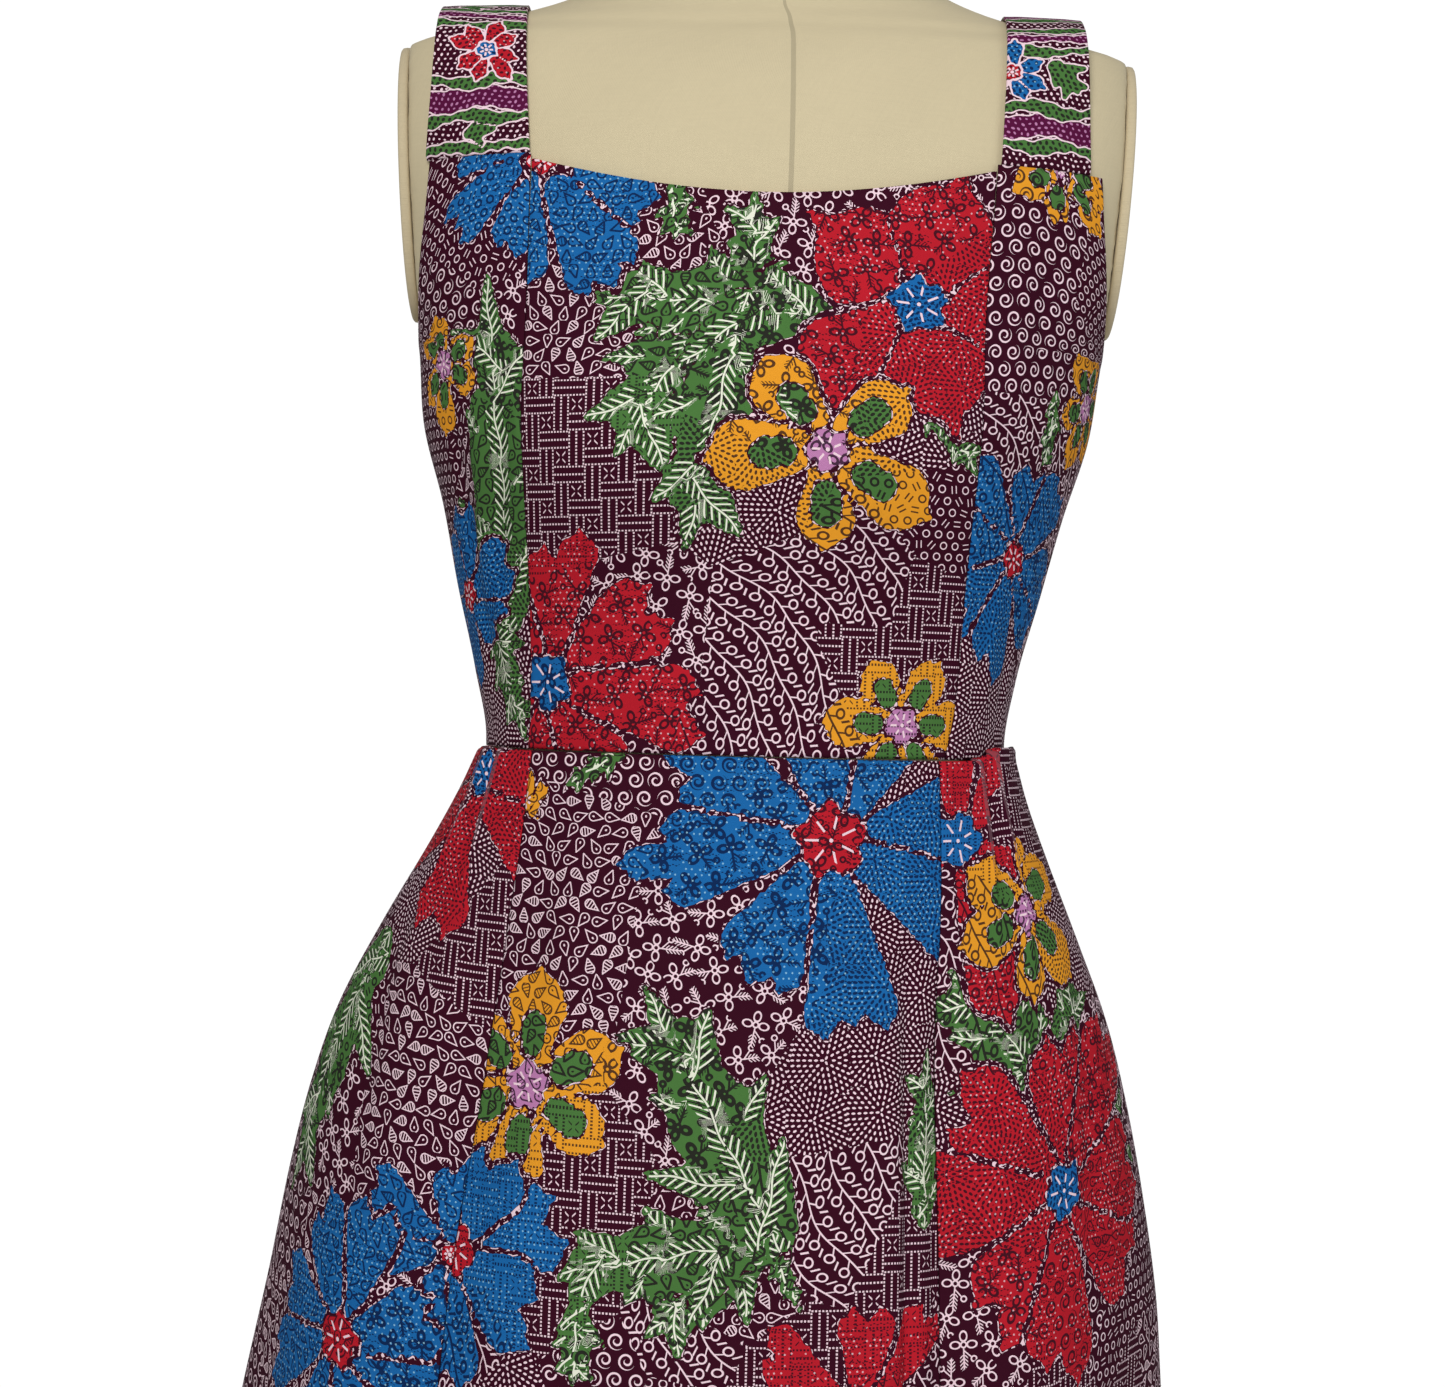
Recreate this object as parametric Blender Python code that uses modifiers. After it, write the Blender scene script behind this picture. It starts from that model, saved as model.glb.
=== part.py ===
"""A sleeveless batik sundress with a square neck, standing on a limbless linen dress form.

The dress faces -Y. Heights in the tables are millimetres above the waist seam, and reaches are
millimetres from the form's upright axis. An angle goes round the axis from the centre front (0)
to +X (90) and the centre back (180). Left and right are the viewer's. The origin is on the floor, at
the middle of the base's underside. Each cut-and-sewn piece is an open sheet of cloth with a wall.
"""

import math

import bmesh
import bpy
from mathutils import Matrix, Vector

MM = 0.001

# Heights of the whole, in millimetres
WAIST = 1050.0  # waist seam above the floor
HEM = -620.0  # hem below the waist seam
FORM_BOTTOM = -255.0
FORM_TOP = 430.0
STRAP_SEAM = 266.5
UNDERARM = 185.0
NECK_DIP = 248.5  # neckline at the centre
NECK_CORNER = 263.5  # neckline beside the straps
NECK_HALF = 104.0

# Cloth and gaps, in millimetres
WALL = 1.5
STRAP_WALL = 2.2
CLEAR = 1.5  # form to cloth
ARMHOLE_EASE = 0.9  # the cloth stands off a little more beside the armholes
STRAP_CLEAR = 0.6  # form to the straps where they lie on the shoulders
SEAM = 0.3  # between two pieces

# Stand, in millimetres
POLE_RADIUS = 16.0
BASE_RADIUS = 195.0
BOSS_HEIGHT = 74.0
CAP_RADIUS = 52.0

# Arm plates, in millimetres
PLATE_FOOT = 200.0
PLATE_TOP = 330.0
PLATE_REACH = 160.2  # form's flat side at the foot of the plate
PLATE_LEAN = 0.0615  # sideways run for each millimetre up
PLATE_HALF_WIDTH = 41.0
PLATE_THICK = 4.7

# Zip, in millimetres
ZIP_HALF = 2.5
ZIP_TOP = 246.0
ZIP_FOOT = -180.0
ZIP_CLOSES = 15.0  # below the zip's foot the back seam closes over this length
SLIDER_HEIGHT = 237.0
SLIDER = (7.6, 2.2, 12.0)  # across, out, up
BRIDGE_WIDE = 2.2
BRIDGE_LONG = 8.0
BRIDGE_OUT = 2.9
BRIDGE_HOLE = (5.2, 2.0)  # up, out
HINGE_OUT = 1.0  # hinge line above the slider's face
PULL = (6.6, 1.2, 26.0)  # across, out, long
PULL_EYE = (3.0, 4.5)  # across, long
PULL_BAR = 0.5  # half the bar that turns under the bridge

# Form: height, left reach, right reach, front, back, squareness of the section
FORM = (
    (FORM_BOTTOM, 158, 154, 102, 110, 2.2),
    (-215, 166, 162, 108, 119, 2.2),
    (-165, 166, 162, 108, 121, 2.2),
    (-110, 156, 152, 105, 115, 2.1),
    (-55, 139, 135, 101, 104, 2.1),
    (0, 122.3, 117.8, 95, 92, 2.1),
    (38, 128.5, 122.5, 96, 94, 2.1),
    (76, 137.5, 132.5, 98, 97, 2.1),
    (115, 145.5, 142.5, 100, 101, 2.2),
    (150, 155, 153, 102, 104, 2.3),
    (190, 158.8, 158.8, 101, 107, 2.4),
    (220, 166, 166, 98, 107, 2.4),
    (245, 171.5, 171.5, 95, 105, 2.4),
    (270, 177, 177, 90, 102, 2.4),
    (295, 178, 178, 81, 95, 2.4),
    (315, 176, 176, 71, 86, 2.4),
    (324, 174, 174, 65, 80, 2.4),
    (329.5, 169, 169, 61, 76, 2.4),
    (333.5, 155, 155, 58, 73, 2.4),
    (338, 141, 141, 56, 70, 2.4),
    (342.5, 127, 127, 53, 67, 2.3),
    (347, 111, 111, 51, 64, 2.3),
    (353.5, 94, 94, 49, 61, 2.2),
    (362, 78, 78, 49, 58, 2.1),
    (374, 66, 66, 50, 56, 2.0),
    (388, 59.5, 59.5, 51, 55, 2.0),
    (405, 57, 57, 52, 55, 2.0),
    (FORM_TOP, 56, 56, 53, 56, 2.0),
)
BUST = (26.0, 80.0, 135.0, 70.0, 50.0)  # out, half apart, height, spread across, spread up

# Skirt's outer face: height, left reach, right reach, front, back, squareness
SKIRT = (
    (0, 128.3, 126.2, 99.3, 96.5, 2.1),
    (-20, 137, 132, 103, 101, 2.1),
    (-45, 150, 141.5, 108, 109, 2.05),
    (-85, 172.5, 157.8, 116, 121, 2.0),
    (-123, 191.5, 172.5, 123.5, 131, 2.0),
    (-161, 204, 182.8, 130.5, 139, 2.0),
    (-200, 212.7, 190.5, 137, 146, 2.0),
    (-250, 221, 197.5, 144, 153, 2.0),
    (-308, 231.5, 200.8, 152, 160, 2.0),
    (-400, 246, 212, 163, 170, 2.0),
    (-500, 263, 223, 175, 181, 2.0),
    (HEM, 281, 236, 188, 194, 2.0),
)

# Seams of the front: height, where the left one runs, where the right one runs
BODICE_SEAMS = (
    (0, -99.6, 86.0),
    (27, -99.0, 90.4),
    (70, -100.2, 92.3),
    (112, -102.3, 94.0),
    (155, -104.2, 96.5),
    (200, -104.0, 97.8),
    (264, -104.6, 102.5),
)
SKIRT_SEAMS = (
    (0, -99.6, 85.0),
    (-38, -102.6, 85.8),
    (-77, -109.0, 86.8),
    (-116, -114.6, 87.7),
    (-157, -119.2, 89.0),
    (-214, -127.0, 90.9),
    (-270, -132.0, 92.3),
    (HEM, -154.0, 99.0),
)

# Straps: side, inner edge at the seam, inner edge on top, outer edge at the seam, outer edge on top
STRAPS = (
    ("left", -106.0, -112.8, -154.0, -152.4),
    ("right", 104.8, 110.0, 146.2, 145.8),
)

# Soft folds of the skirt: line followed, degrees beside it, half width, out at the hem, start, full
FOLDS = (
    ("right_seam", 0.0, 6.0, -7.0, -45.0, -150.0),
    ("right_seam", -8.0, 6.0, 5.0, -70.0, -180.0),
    ("right_seam", 12.0, 9.0, 5.0, -90.0, -300.0),
    ("left_seam", 0.0, 6.0, -5.0, -20.0, -120.0),
    ("left_seam", 11.0, 8.0, 4.0, -60.0, -240.0),
    ("left_seam", -14.0, 9.0, 5.0, -90.0, -300.0),
    ("centre", -4.0, 11.0, 6.0, -200.0, -600.0),
    ("centre", 66.0, 10.0, -6.0, -120.0, -400.0),
    ("centre", -74.0, 10.0, -6.0, -120.0, -400.0),
    ("centre", 88.0, 12.0, 6.0, -150.0, -450.0),
    ("centre", -94.0, 12.0, 5.0, -150.0, -450.0),
    ("centre", 112.0, 11.0, -6.0, -60.0, -350.0),
    ("centre", -116.0, 11.0, -6.0, -60.0, -350.0),
    ("centre", 134.0, 11.0, 7.0, -60.0, -350.0),
    ("centre", -138.0, 11.0, 7.0, -60.0, -350.0),
    ("centre", 157.0, 11.0, -6.0, -60.0, -350.0),
    ("centre", -160.0, 10.0, -6.0, -60.0, -350.0),
)

# Knife pleats at the waist: panel, share of its width, out, foot
PLEATS = (
    ("skirt_front_side_right", 0.24, 2.6, -95.0),
    ("skirt_front_side_right", 0.39, 3.0, -110.0),
    ("skirt_front_side_left", 0.74, 2.4, -85.0),
    ("skirt_front_side_left", 0.54, 2.8, -105.0),
    ("skirt_back_right", 0.34, 2.6, -100.0),
    ("skirt_back_right", 0.48, 2.6, -100.0),
    ("skirt_back_left", 0.66, 2.6, -100.0),
    ("skirt_back_left", 0.52, 2.6, -100.0),
)
PLEAT_RAMP = 0.035  # share of the panel's width that a pleat's step takes
PLEAT_SPREAD = 0.12  # share of it over which the cloth falls back behind the step

# Mesh density
FORM_COLUMNS = 40
BODICE_HEIGHTS = (0, 19, 38, 57, 76, 95, 115, 132, 150, 168)  # shared by the form, up to the underarm
ARMHOLE_ROWS = 5  # from the underarm to the strap
SKIRT_HEIGHTS = (0, -12, -30, -60, -95, -130, -170, -220, -290, -360, -440, -530, HEM)
STRAP_ROWS = 22
SEAM_COLUMN = 0.02  # share of a gore's width between its seam and the next column

# Colours: name, red, green, blue, roughness, metallic
FINISHES = {
    "linen": (0.60, 0.53, 0.38, 0.9, 0.0),
    "cloth_plum": (0.16, 0.03, 0.08, 0.85, 0.0),
    "cloth_border": (0.10, 0.16, 0.06, 0.85, 0.0),
    "wood": (0.25, 0.12, 0.05, 0.5, 0.0),
    "iron": (0.03, 0.03, 0.03, 0.45, 0.6),
    "steel": (0.55, 0.55, 0.55, 0.3, 1.0),
    "tape": (0.09, 0.02, 0.05, 0.8, 0.0),
}


def smooth_table(rows):
    """A function from height to the other columns, on a smooth curve through the rows."""
    rows = sorted(rows)
    heights = [row[0] for row in rows]
    slopes = []
    for i, row in enumerate(rows):
        before = rows[max(i - 1, 0)]
        after = rows[min(i + 1, len(rows) - 1)]
        rise = []
        for k in range(1, len(row)):
            steps = [(b[k] - a[k]) / (b[0] - a[0]) for a, b in ((before, row), (row, after)) if a is not b]
            rise.append(sum(steps) / len(steps))
        slopes.append(rise)

    def at(height):
        height = min(max(height, heights[0]), heights[-1])
        i = 0
        while i < len(rows) - 2 and heights[i + 1] < height:
            i += 1
        span = heights[i + 1] - heights[i]
        t = (height - heights[i]) / span
        h00, h10 = 2 * t**3 - 3 * t**2 + 1, t**3 - 2 * t**2 + t
        h01, h11 = 3 * t**2 - 2 * t**3, t**3 - t**2
        low, high = rows[i][1:], rows[i + 1][1:]
        return [
            h00 * low[k] + h10 * span * slopes[i][k] + h01 * high[k] + h11 * span * slopes[i + 1][k]
            for k in range(len(low))
        ]

    return at


form_at = smooth_table(FORM)
skirt_at = smooth_table(SKIRT)
bodice_seams_at = smooth_table(BODICE_SEAMS)
skirt_seams_at = smooth_table(SKIRT_SEAMS)


def ease(start, end, value):
    """0 at start, 1 at end, with a soft turn at both."""
    t = min(max((value - start) / (end - start), 0.0), 1.0)
    return t * t * (3 - 2 * t)


def signed_power(value, power):
    return math.copysign(abs(value) ** power, value)


def oval(section, angle):
    """A point of a section at an angle round the axis."""
    left, right, front, back, square = section
    s, c = math.sin(angle), math.cos(angle)
    x = (right if s > 0 else left) * signed_power(s, 2 / square)
    y = -(front if c > 0 else back) * signed_power(c, 2 / square)
    return x, y


def oval_angle(section, x):
    """The angle of the front point of a section that lies at x."""
    reach = section[1] if x > 0 else section[0]
    return math.copysign(math.asin(min(abs(x) / reach, 1.0) ** (section[4] / 2)), x)


def arm_flat(height):
    """How far out the form goes before the flat side that carries the arm plate."""
    return PLATE_REACH + PLATE_LEAN * (height - PLATE_FOOT)


def form_point(height, angle):
    x, y = oval(form_at(height), angle)
    if height > UNDERARM:
        x = min(max(x, -arm_flat(height)), arm_flat(height))
    if math.cos(angle) > 0:
        out, apart, middle, across, up = BUST
        swell = math.exp(-(((x - apart) / across) ** 2)) + math.exp(-(((x + apart) / across) ** 2))
        y -= out * swell * math.cos(angle) * math.exp(-(((height - middle) / up) ** 2))
    return Vector((x, y, height))


def line_angle(line, height):
    """The angle of a seam or of the centre front at a height, on the skirt."""
    if line == "centre":
        return 0.0
    left, right = skirt_seams_at(height)
    return oval_angle(skirt_at(height), left if line == "left_seam" else right)


def skirt_point(height, angle):
    """A point of the skirt's outer face, folds included and pleats left out."""
    x, y = oval(skirt_at(height), angle)
    out = 0.0
    for line, beside, half_width, depth, start, full in FOLDS:
        turn = math.degrees(angle - line_angle(line, height)) - beside
        turn = (turn + 180) % 360 - 180
        if abs(turn) < 2.5 * half_width:
            out += depth * math.exp(-((turn / half_width) ** 2)) * ease(start, full, height)
    length = math.hypot(x, y)
    return Vector((x * (1 + out / length), y * (1 + out / length), height))


def normal_of(surface, height, angle):
    """The outward normal of a surface given by height and angle."""
    small, turn = 0.5, math.radians(0.5)
    across = surface(height, angle + turn) - surface(height, angle - turn)
    up = surface(height + small, angle) - surface(height - small, angle)
    return across.cross(up).normalized()


def lifted(surface, height, angle, lift):
    return surface(height, angle) + normal_of(surface, height, angle) * lift


def beside(surface, height, angle, gap):
    """The angle that lies a gap further round than another one, on a surface."""
    turn = math.radians(0.5)
    step = (surface(height, angle + turn) - surface(height, angle - turn)).length
    return angle + gap * 2 * turn / step


def armhole_angle(height_share):
    """Where a panel ends at the armhole, from the underarm (0) to the strap (1)."""
    at_strap = math.radians(54.0)
    return at_strap + (math.pi / 2 - at_strap) * (1 - math.sqrt(height_share)) ** 1.1


def neckline(x):
    return NECK_DIP + (NECK_CORNER - NECK_DIP) * min(abs(x) / NECK_HALF, 1.0) ** 2


def zip_gap(height):
    """Half the space that the back panels leave at the centre back."""
    return SEAM / 2 + (ZIP_HALF + SEAM / 2) * ease(ZIP_FOOT - SEAM - ZIP_CLOSES, ZIP_FOOT - SEAM, height)


def material(name):
    found = bpy.data.materials.get(name)
    if found:
        return found
    red, green, blue, roughness, metallic = FINISHES[name]
    made = bpy.data.materials.new(name)
    made.use_nodes = True
    shader = made.node_tree.nodes["Principled BSDF"]
    shader.inputs["Base Color"].default_value = (red, green, blue, 1)
    shader.inputs["Roughness"].default_value = roughness
    shader.inputs["Metallic"].default_value = metallic
    made.diffuse_color = (red, green, blue, 1)
    return made


def add_object(name, mesh, finish, group):
    made = bpy.data.objects.new(name, mesh)
    group.objects.link(made)
    if finish:
        mesh.materials.append(material(finish))
    return made


def add_sheet(name, where, columns, rows, wall, finish, group):
    """A piece of cloth: an open grid of points, given a wall on its outer side."""
    points = [Vector(where(s, t)) * MM for t in rows for s in columns]
    wide = len(columns)
    faces = [
        (j * wide + i, j * wide + i + 1, (j + 1) * wide + i + 1, (j + 1) * wide + i)
        for j in range(len(rows) - 1)
        for i in range(wide - 1)
    ]
    mesh = bpy.data.meshes.new(name)
    mesh.from_pydata(points, [], faces)
    mesh.shade_smooth()
    sheet = add_object(name, mesh, finish, group)
    sheet.location = (0, 0, WAIST * MM)
    shell = sheet.modifiers.new("wall", "SOLIDIFY")
    shell.thickness = wall * MM
    shell.offset = 1
    return sheet


def even(count):
    return [i / count for i in range(count + 1)]


def turned(name, profile, steps, finish, group):
    """A turned piece from the radii and heights of its outer side, top to bottom."""
    mesh = bpy.data.meshes.new(name)
    points = [(radius * MM, 0, height * MM) for radius, height in profile]
    mesh.from_pydata(points, [(i, i + 1) for i in range(len(points) - 1)], [])
    made = add_object(name, mesh, finish, group)
    screw = made.modifiers.new("turn", "SCREW")
    screw.steps = screw.render_steps = steps
    screw.use_merge_vertices = True
    screw.merge_threshold = 0.00001
    screw.use_smooth_shade = True
    return made


def add_box(name, size, centre, finish, group):
    mesh = bpy.data.meshes.new(name)
    work = bmesh.new()
    bmesh.ops.create_cube(work, size=1, matrix=Matrix.Diagonal((*(side * MM for side in size), 1)))
    bmesh.ops.translate(work, verts=work.verts, vec=Vector(centre) * MM)
    work.to_mesh(mesh)
    work.free()
    return add_object(name, mesh, finish, group)


def cut(target, cutter, operation):
    cutter.hide_render = True
    cutter.display_type = "WIRE"
    step = target.modifiers.new(operation.lower(), "BOOLEAN")
    step.operation = operation
    step.object = cutter


def add_torso(group):
    """The form's trunk and neck: a loft through its sections, closed flat at both ends."""
    heights = sorted({row[0] for row in FORM} | set(BODICE_HEIGHTS))
    work = bmesh.new()
    rings = []
    for height in heights:
        ring = [form_point(height, 2 * math.pi * i / FORM_COLUMNS) for i in range(FORM_COLUMNS)]
        rings.append([work.verts.new((p + Vector((0, 0, WAIST))) * MM) for p in ring])
    for lower, upper in zip(rings, rings[1:]):
        for i in range(FORM_COLUMNS):
            k = (i + 1) % FORM_COLUMNS
            work.faces.new((lower[i], lower[k], upper[k], upper[i]))
    work.faces.new(list(reversed(rings[0])))
    work.faces.new(rings[-1])
    mesh = bpy.data.meshes.new("form_torso")
    work.to_mesh(mesh)
    work.free()
    mesh.shade_smooth()
    mesh.set_sharp_from_angle(angle=math.radians(60))
    add_object("form_torso", mesh, "linen", group)


def add_stand(group):
    """The turned wooden neck cap, the pole and the heavy round base."""
    top = WAIST + FORM_TOP + SEAM
    knob = ((0, 42), (9, 40), (13, 34), (12, 27), (8, 22), (10, 18))
    cap = knob + ((40, 13), (CAP_RADIUS, 6), (CAP_RADIUS, 0), (0, 0))
    turned("neck_cap", [(radius, top + height) for radius, height in cap], 24, "wood", group)
    foot = BOSS_HEIGHT + SEAM
    head = WAIST + FORM_BOTTOM - SEAM
    turned("pole", ((0, head), (POLE_RADIUS, head), (POLE_RADIUS, foot), (0, foot)), 20, "steel", group)
    base = (
        (0, BOSS_HEIGHT), (22, BOSS_HEIGHT), (26, BOSS_HEIGHT - 5), (28, 44), (42, 34), (95, 26), (160, 19),
        (BASE_RADIUS - 7, 13), (BASE_RADIUS, 7), (BASE_RADIUS - 2, 0), (0, 0),
    )
    turned("base", base, 40, "iron", group)


def add_arm_plates(group):
    """Oval plates on the flat sides of the form, leaning out with them."""
    middle = (PLATE_FOOT + PLATE_TOP) / 2
    lean = math.atan(PLATE_LEAN)
    for side, sign in (("left", -1), ("right", 1)):
        mesh = bpy.data.meshes.new("arm_plate_" + side)
        work = bmesh.new()
        bmesh.ops.create_cone(work, cap_ends=True, segments=28, radius1=1, radius2=1, depth=1)
        half_tall = (PLATE_TOP - PLATE_FOOT) / 2
        size = Matrix.Diagonal((PLATE_HALF_WIDTH * MM, half_tall * MM, PLATE_THICK * MM, 1))
        bmesh.ops.transform(work, matrix=size, verts=work.verts)
        work.to_mesh(mesh)
        work.free()
        mesh.shade_smooth()
        mesh.set_sharp_from_angle(angle=math.radians(40))
        plate = add_object("arm_plate_" + side, mesh, "wood", group)
        out = (SEAM + PLATE_THICK / 2) / math.cos(lean)
        facing = Matrix(((0, 0, sign), (sign, 0, 0), (0, 1, 0))).to_4x4()
        plate.matrix_world = (
            Matrix.Translation(Vector((sign * (arm_flat(middle) + out), -2, WAIST + middle)) * MM)
            @ Matrix.Rotation(sign * lean, 4, "Y")
            @ facing
        )
        edge = plate.modifiers.new("rounded edge", "BEVEL")
        edge.width = 1.2 * MM
        edge.segments = 1
        edge.limit_method = "ANGLE"


def bodice_heights(top):
    """Heights of a panel's rows: up to the underarm, then closest where the armhole starts."""
    low = [max(height, SEAM / 2) for height in BODICE_HEIGHTS]
    high = [UNDERARM + (top - UNDERARM) * (i / ARMHOLE_ROWS) ** 2 for i in range(ARMHOLE_ROWS + 1)]
    return low + high


def bodice_where(start, end, top):
    """A panel of the bodice between two lines, each an angle for a height, under a top edge."""
    rows = len(BODICE_HEIGHTS) + ARMHOLE_ROWS

    def where(s, t):
        nominal = bodice_heights(STRAP_SEAM - SEAM)[round(t * rows)]
        angle = start(nominal) + (end(nominal) - start(nominal)) * s
        peak = top(form_point(STRAP_SEAM, angle).x)
        height = bodice_heights(peak)[round(t * rows)]
        a = beside(form_point, height, start(nominal), SEAM / 2)
        b = beside(form_point, height, end(nominal), -SEAM / 2)
        armhole = min(max(height - UNDERARM, 0) / (peak - UNDERARM), 1.0)
        return lifted(form_point, height, a + (b - a) * s, CLEAR + ARMHOLE_EASE * math.sin(math.pi * armhole))

    return where


def add_bodice(group):
    """Centre front, two side fronts and two backs, joined at princess, side and centre-back seams."""
    rows = even(len(BODICE_HEIGHTS) + ARMHOLE_ROWS)

    def princess(side):
        def line(height):
            return oval_angle(form_at(height), bodice_seams_at(height)[side])

        return line

    def side_line(sign, at_back):
        def line(height):
            share = max(height - UNDERARM, 0) / (STRAP_SEAM - SEAM - UNDERARM)
            angle = armhole_angle(min(share, 1.0))
            return sign * (math.pi - angle if at_back else angle)

        return line

    def centre_back(sign):
        def line(height):
            shift = (zip_gap(height) - SEAM / 2) / form_at(height)[3]
            return sign * (math.pi - shift)

        return line

    def level(x):
        return STRAP_SEAM - SEAM

    # At the back the neckline has the front's curve, and beside it the panel reaches the strap.
    def back_top(x):
        return neckline(x) + (STRAP_SEAM - SEAM - NECK_CORNER) * ease(NECK_HALF - 6, NECK_HALF + 2, abs(x))

    left, right = princess(0), princess(1)
    panels = (
        ("bodice_front_center", left, right, neckline, 10),
        ("bodice_front_side_right", right, side_line(1, False), level, 6),
        ("bodice_front_side_left", side_line(-1, False), left, level, 6),
        ("bodice_back_right", side_line(1, True), centre_back(1), back_top, 11),
        ("bodice_back_left", centre_back(-1), side_line(-1, True), back_top, 11),
    )
    for name, start, end, top, columns in panels:
        add_sheet(name, bodice_where(start, end, top), even(columns), rows, WALL, "cloth_plum", group)


def shoulder_ray(x, ray):
    """How far the form reaches along a ray that leaves the height of the strap seam, at x."""
    near, far = 0.0, 200.0
    for _ in range(40):
        middle = (near + far) / 2
        y, height = -middle * math.cos(ray), STRAP_SEAM + middle * math.sin(ray)
        left, right, front, back, square = form_at(height)
        across = (abs(x) / (right if x > 0 else left)) ** square
        inside = across + (abs(y) / (front if y < 0 else back)) ** square < 1
        near, far = (middle, far) if inside else (near, middle)
    return near


def strap_where(inner_seam, inner_top, outer_seam, outer_top):
    """A strap that follows the chest, lies on the shoulder at its inner edge and stays level there."""

    def where(s, t):
        share = s if inner_seam > 0 else 1 - s
        tip = SEAM / (2 * 80)  # keeps the seam's gap at both ends, about 80 mm from the middle
        ray = tip + (math.pi - 2 * tip) * t
        rise = math.sin(ray)
        inner = inner_seam + (inner_top - inner_seam) * rise
        outer = outer_seam + (outer_top - outer_seam) * rise
        x = inner + (outer - inner) * share
        own, rest = shoulder_ray(x, ray), shoulder_ray(inner, ray)
        reach = own + (rest - own) * rise**3 + CLEAR + (STRAP_CLEAR - CLEAR) * rise**4
        return x, -reach * math.cos(ray), STRAP_SEAM + reach * rise

    return where


def add_straps(group):
    for side, inner_seam, inner_top, outer_seam, outer_top in STRAPS:
        where = strap_where(inner_seam, inner_top, outer_seam, outer_top)
        add_sheet("strap_" + side, where, even(4), even(STRAP_ROWS), STRAP_WALL, "cloth_border", group)


def pleat_out(name, share, height):
    """How far the knife pleats of a panel stand out at a share of its width."""
    out = 0.0
    for panel, at, depth, foot in PLEATS:
        if panel != name:
            continue
        # A pleat's fold faces the side seam, so the cloth falls away on that side.
        behind = (at - share) if "right" in name else (share - at)
        if name.startswith("skirt_back"):
            behind = -behind
        step = ease(-PLEAT_RAMP / 2, PLEAT_RAMP / 2, behind)
        out += depth * step * math.exp(-max(behind, 0) / PLEAT_SPREAD) * ease(foot, foot * 0.3, height)
    return out


def skirt_where(name, start, end):
    heights = SKIRT_HEIGHTS

    def where(s, t):
        height = min(heights[round(t * (len(heights) - 1))], -SEAM / 2)
        a = beside(skirt_point, height, start(height), SEAM / 2)
        b = beside(skirt_point, height, end(height), -SEAM / 2)
        lift = pleat_out(name, s, height) * math.sin(math.pi * s) ** 0.5 - WALL
        return lifted(skirt_point, height, a + (b - a) * s, lift)

    return where


def skirt_columns(name, count):
    """Even shares of a panel's width, with a column close to each seam and a pair at each pleat's step."""
    shares = sorted(even(count) + [SEAM_COLUMN, 1 - SEAM_COLUMN])
    for panel, at, _depth, _foot in PLEATS:
        if panel == name:
            pair = [at - PLEAT_RAMP / 2, at + PLEAT_RAMP / 2]
            shares = [s for s in shares if min(abs(s - p) for p in pair) > PLEAT_RAMP] + pair
    return sorted(shares)


def add_skirt(group):
    """Five gores: centre front, two side fronts and two backs."""

    def seam(line):
        def at(height):
            return line_angle(line, height)

        return at

    def side(sign):
        def at(height):
            return sign * math.pi / 2

        return at

    def centre_back(sign):
        def at(height):
            return sign * (math.pi - (zip_gap(height) - SEAM / 2) / skirt_at(height)[3])

        return at

    gores = (
        ("skirt_front_center", seam("left_seam"), seam("right_seam"), 14),
        ("skirt_front_side_right", seam("right_seam"), side(1), 10),
        ("skirt_front_side_left", side(-1), seam("left_seam"), 10),
        ("skirt_back_right", side(1), centre_back(1), 12),
        ("skirt_back_left", centre_back(-1), side(-1), 12),
    )
    rows = even(len(SKIRT_HEIGHTS) - 1)
    for name, start, end, columns in gores:
        # Rows run upward, so that the wall grows on the outer side.
        where = skirt_where(name, start, end)

        def upward(s, t, where=where):
            return where(s, 1 - t)

        add_sheet(name, upward, skirt_columns(name, columns), rows, WALL, "cloth_plum", group)


def zip_point(height):
    """The zip's inner face at the centre back: on the bodice above the waist, on the skirt below."""
    on_bodice = lifted(form_point, max(height, 0), math.pi, CLEAR)
    on_skirt = lifted(skirt_point, min(height, 0), math.pi, -WALL)
    share = ease(12, -12, height)
    y = on_bodice.y + (on_skirt.y - on_bodice.y) * share
    return Vector((0, y, height))


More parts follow.
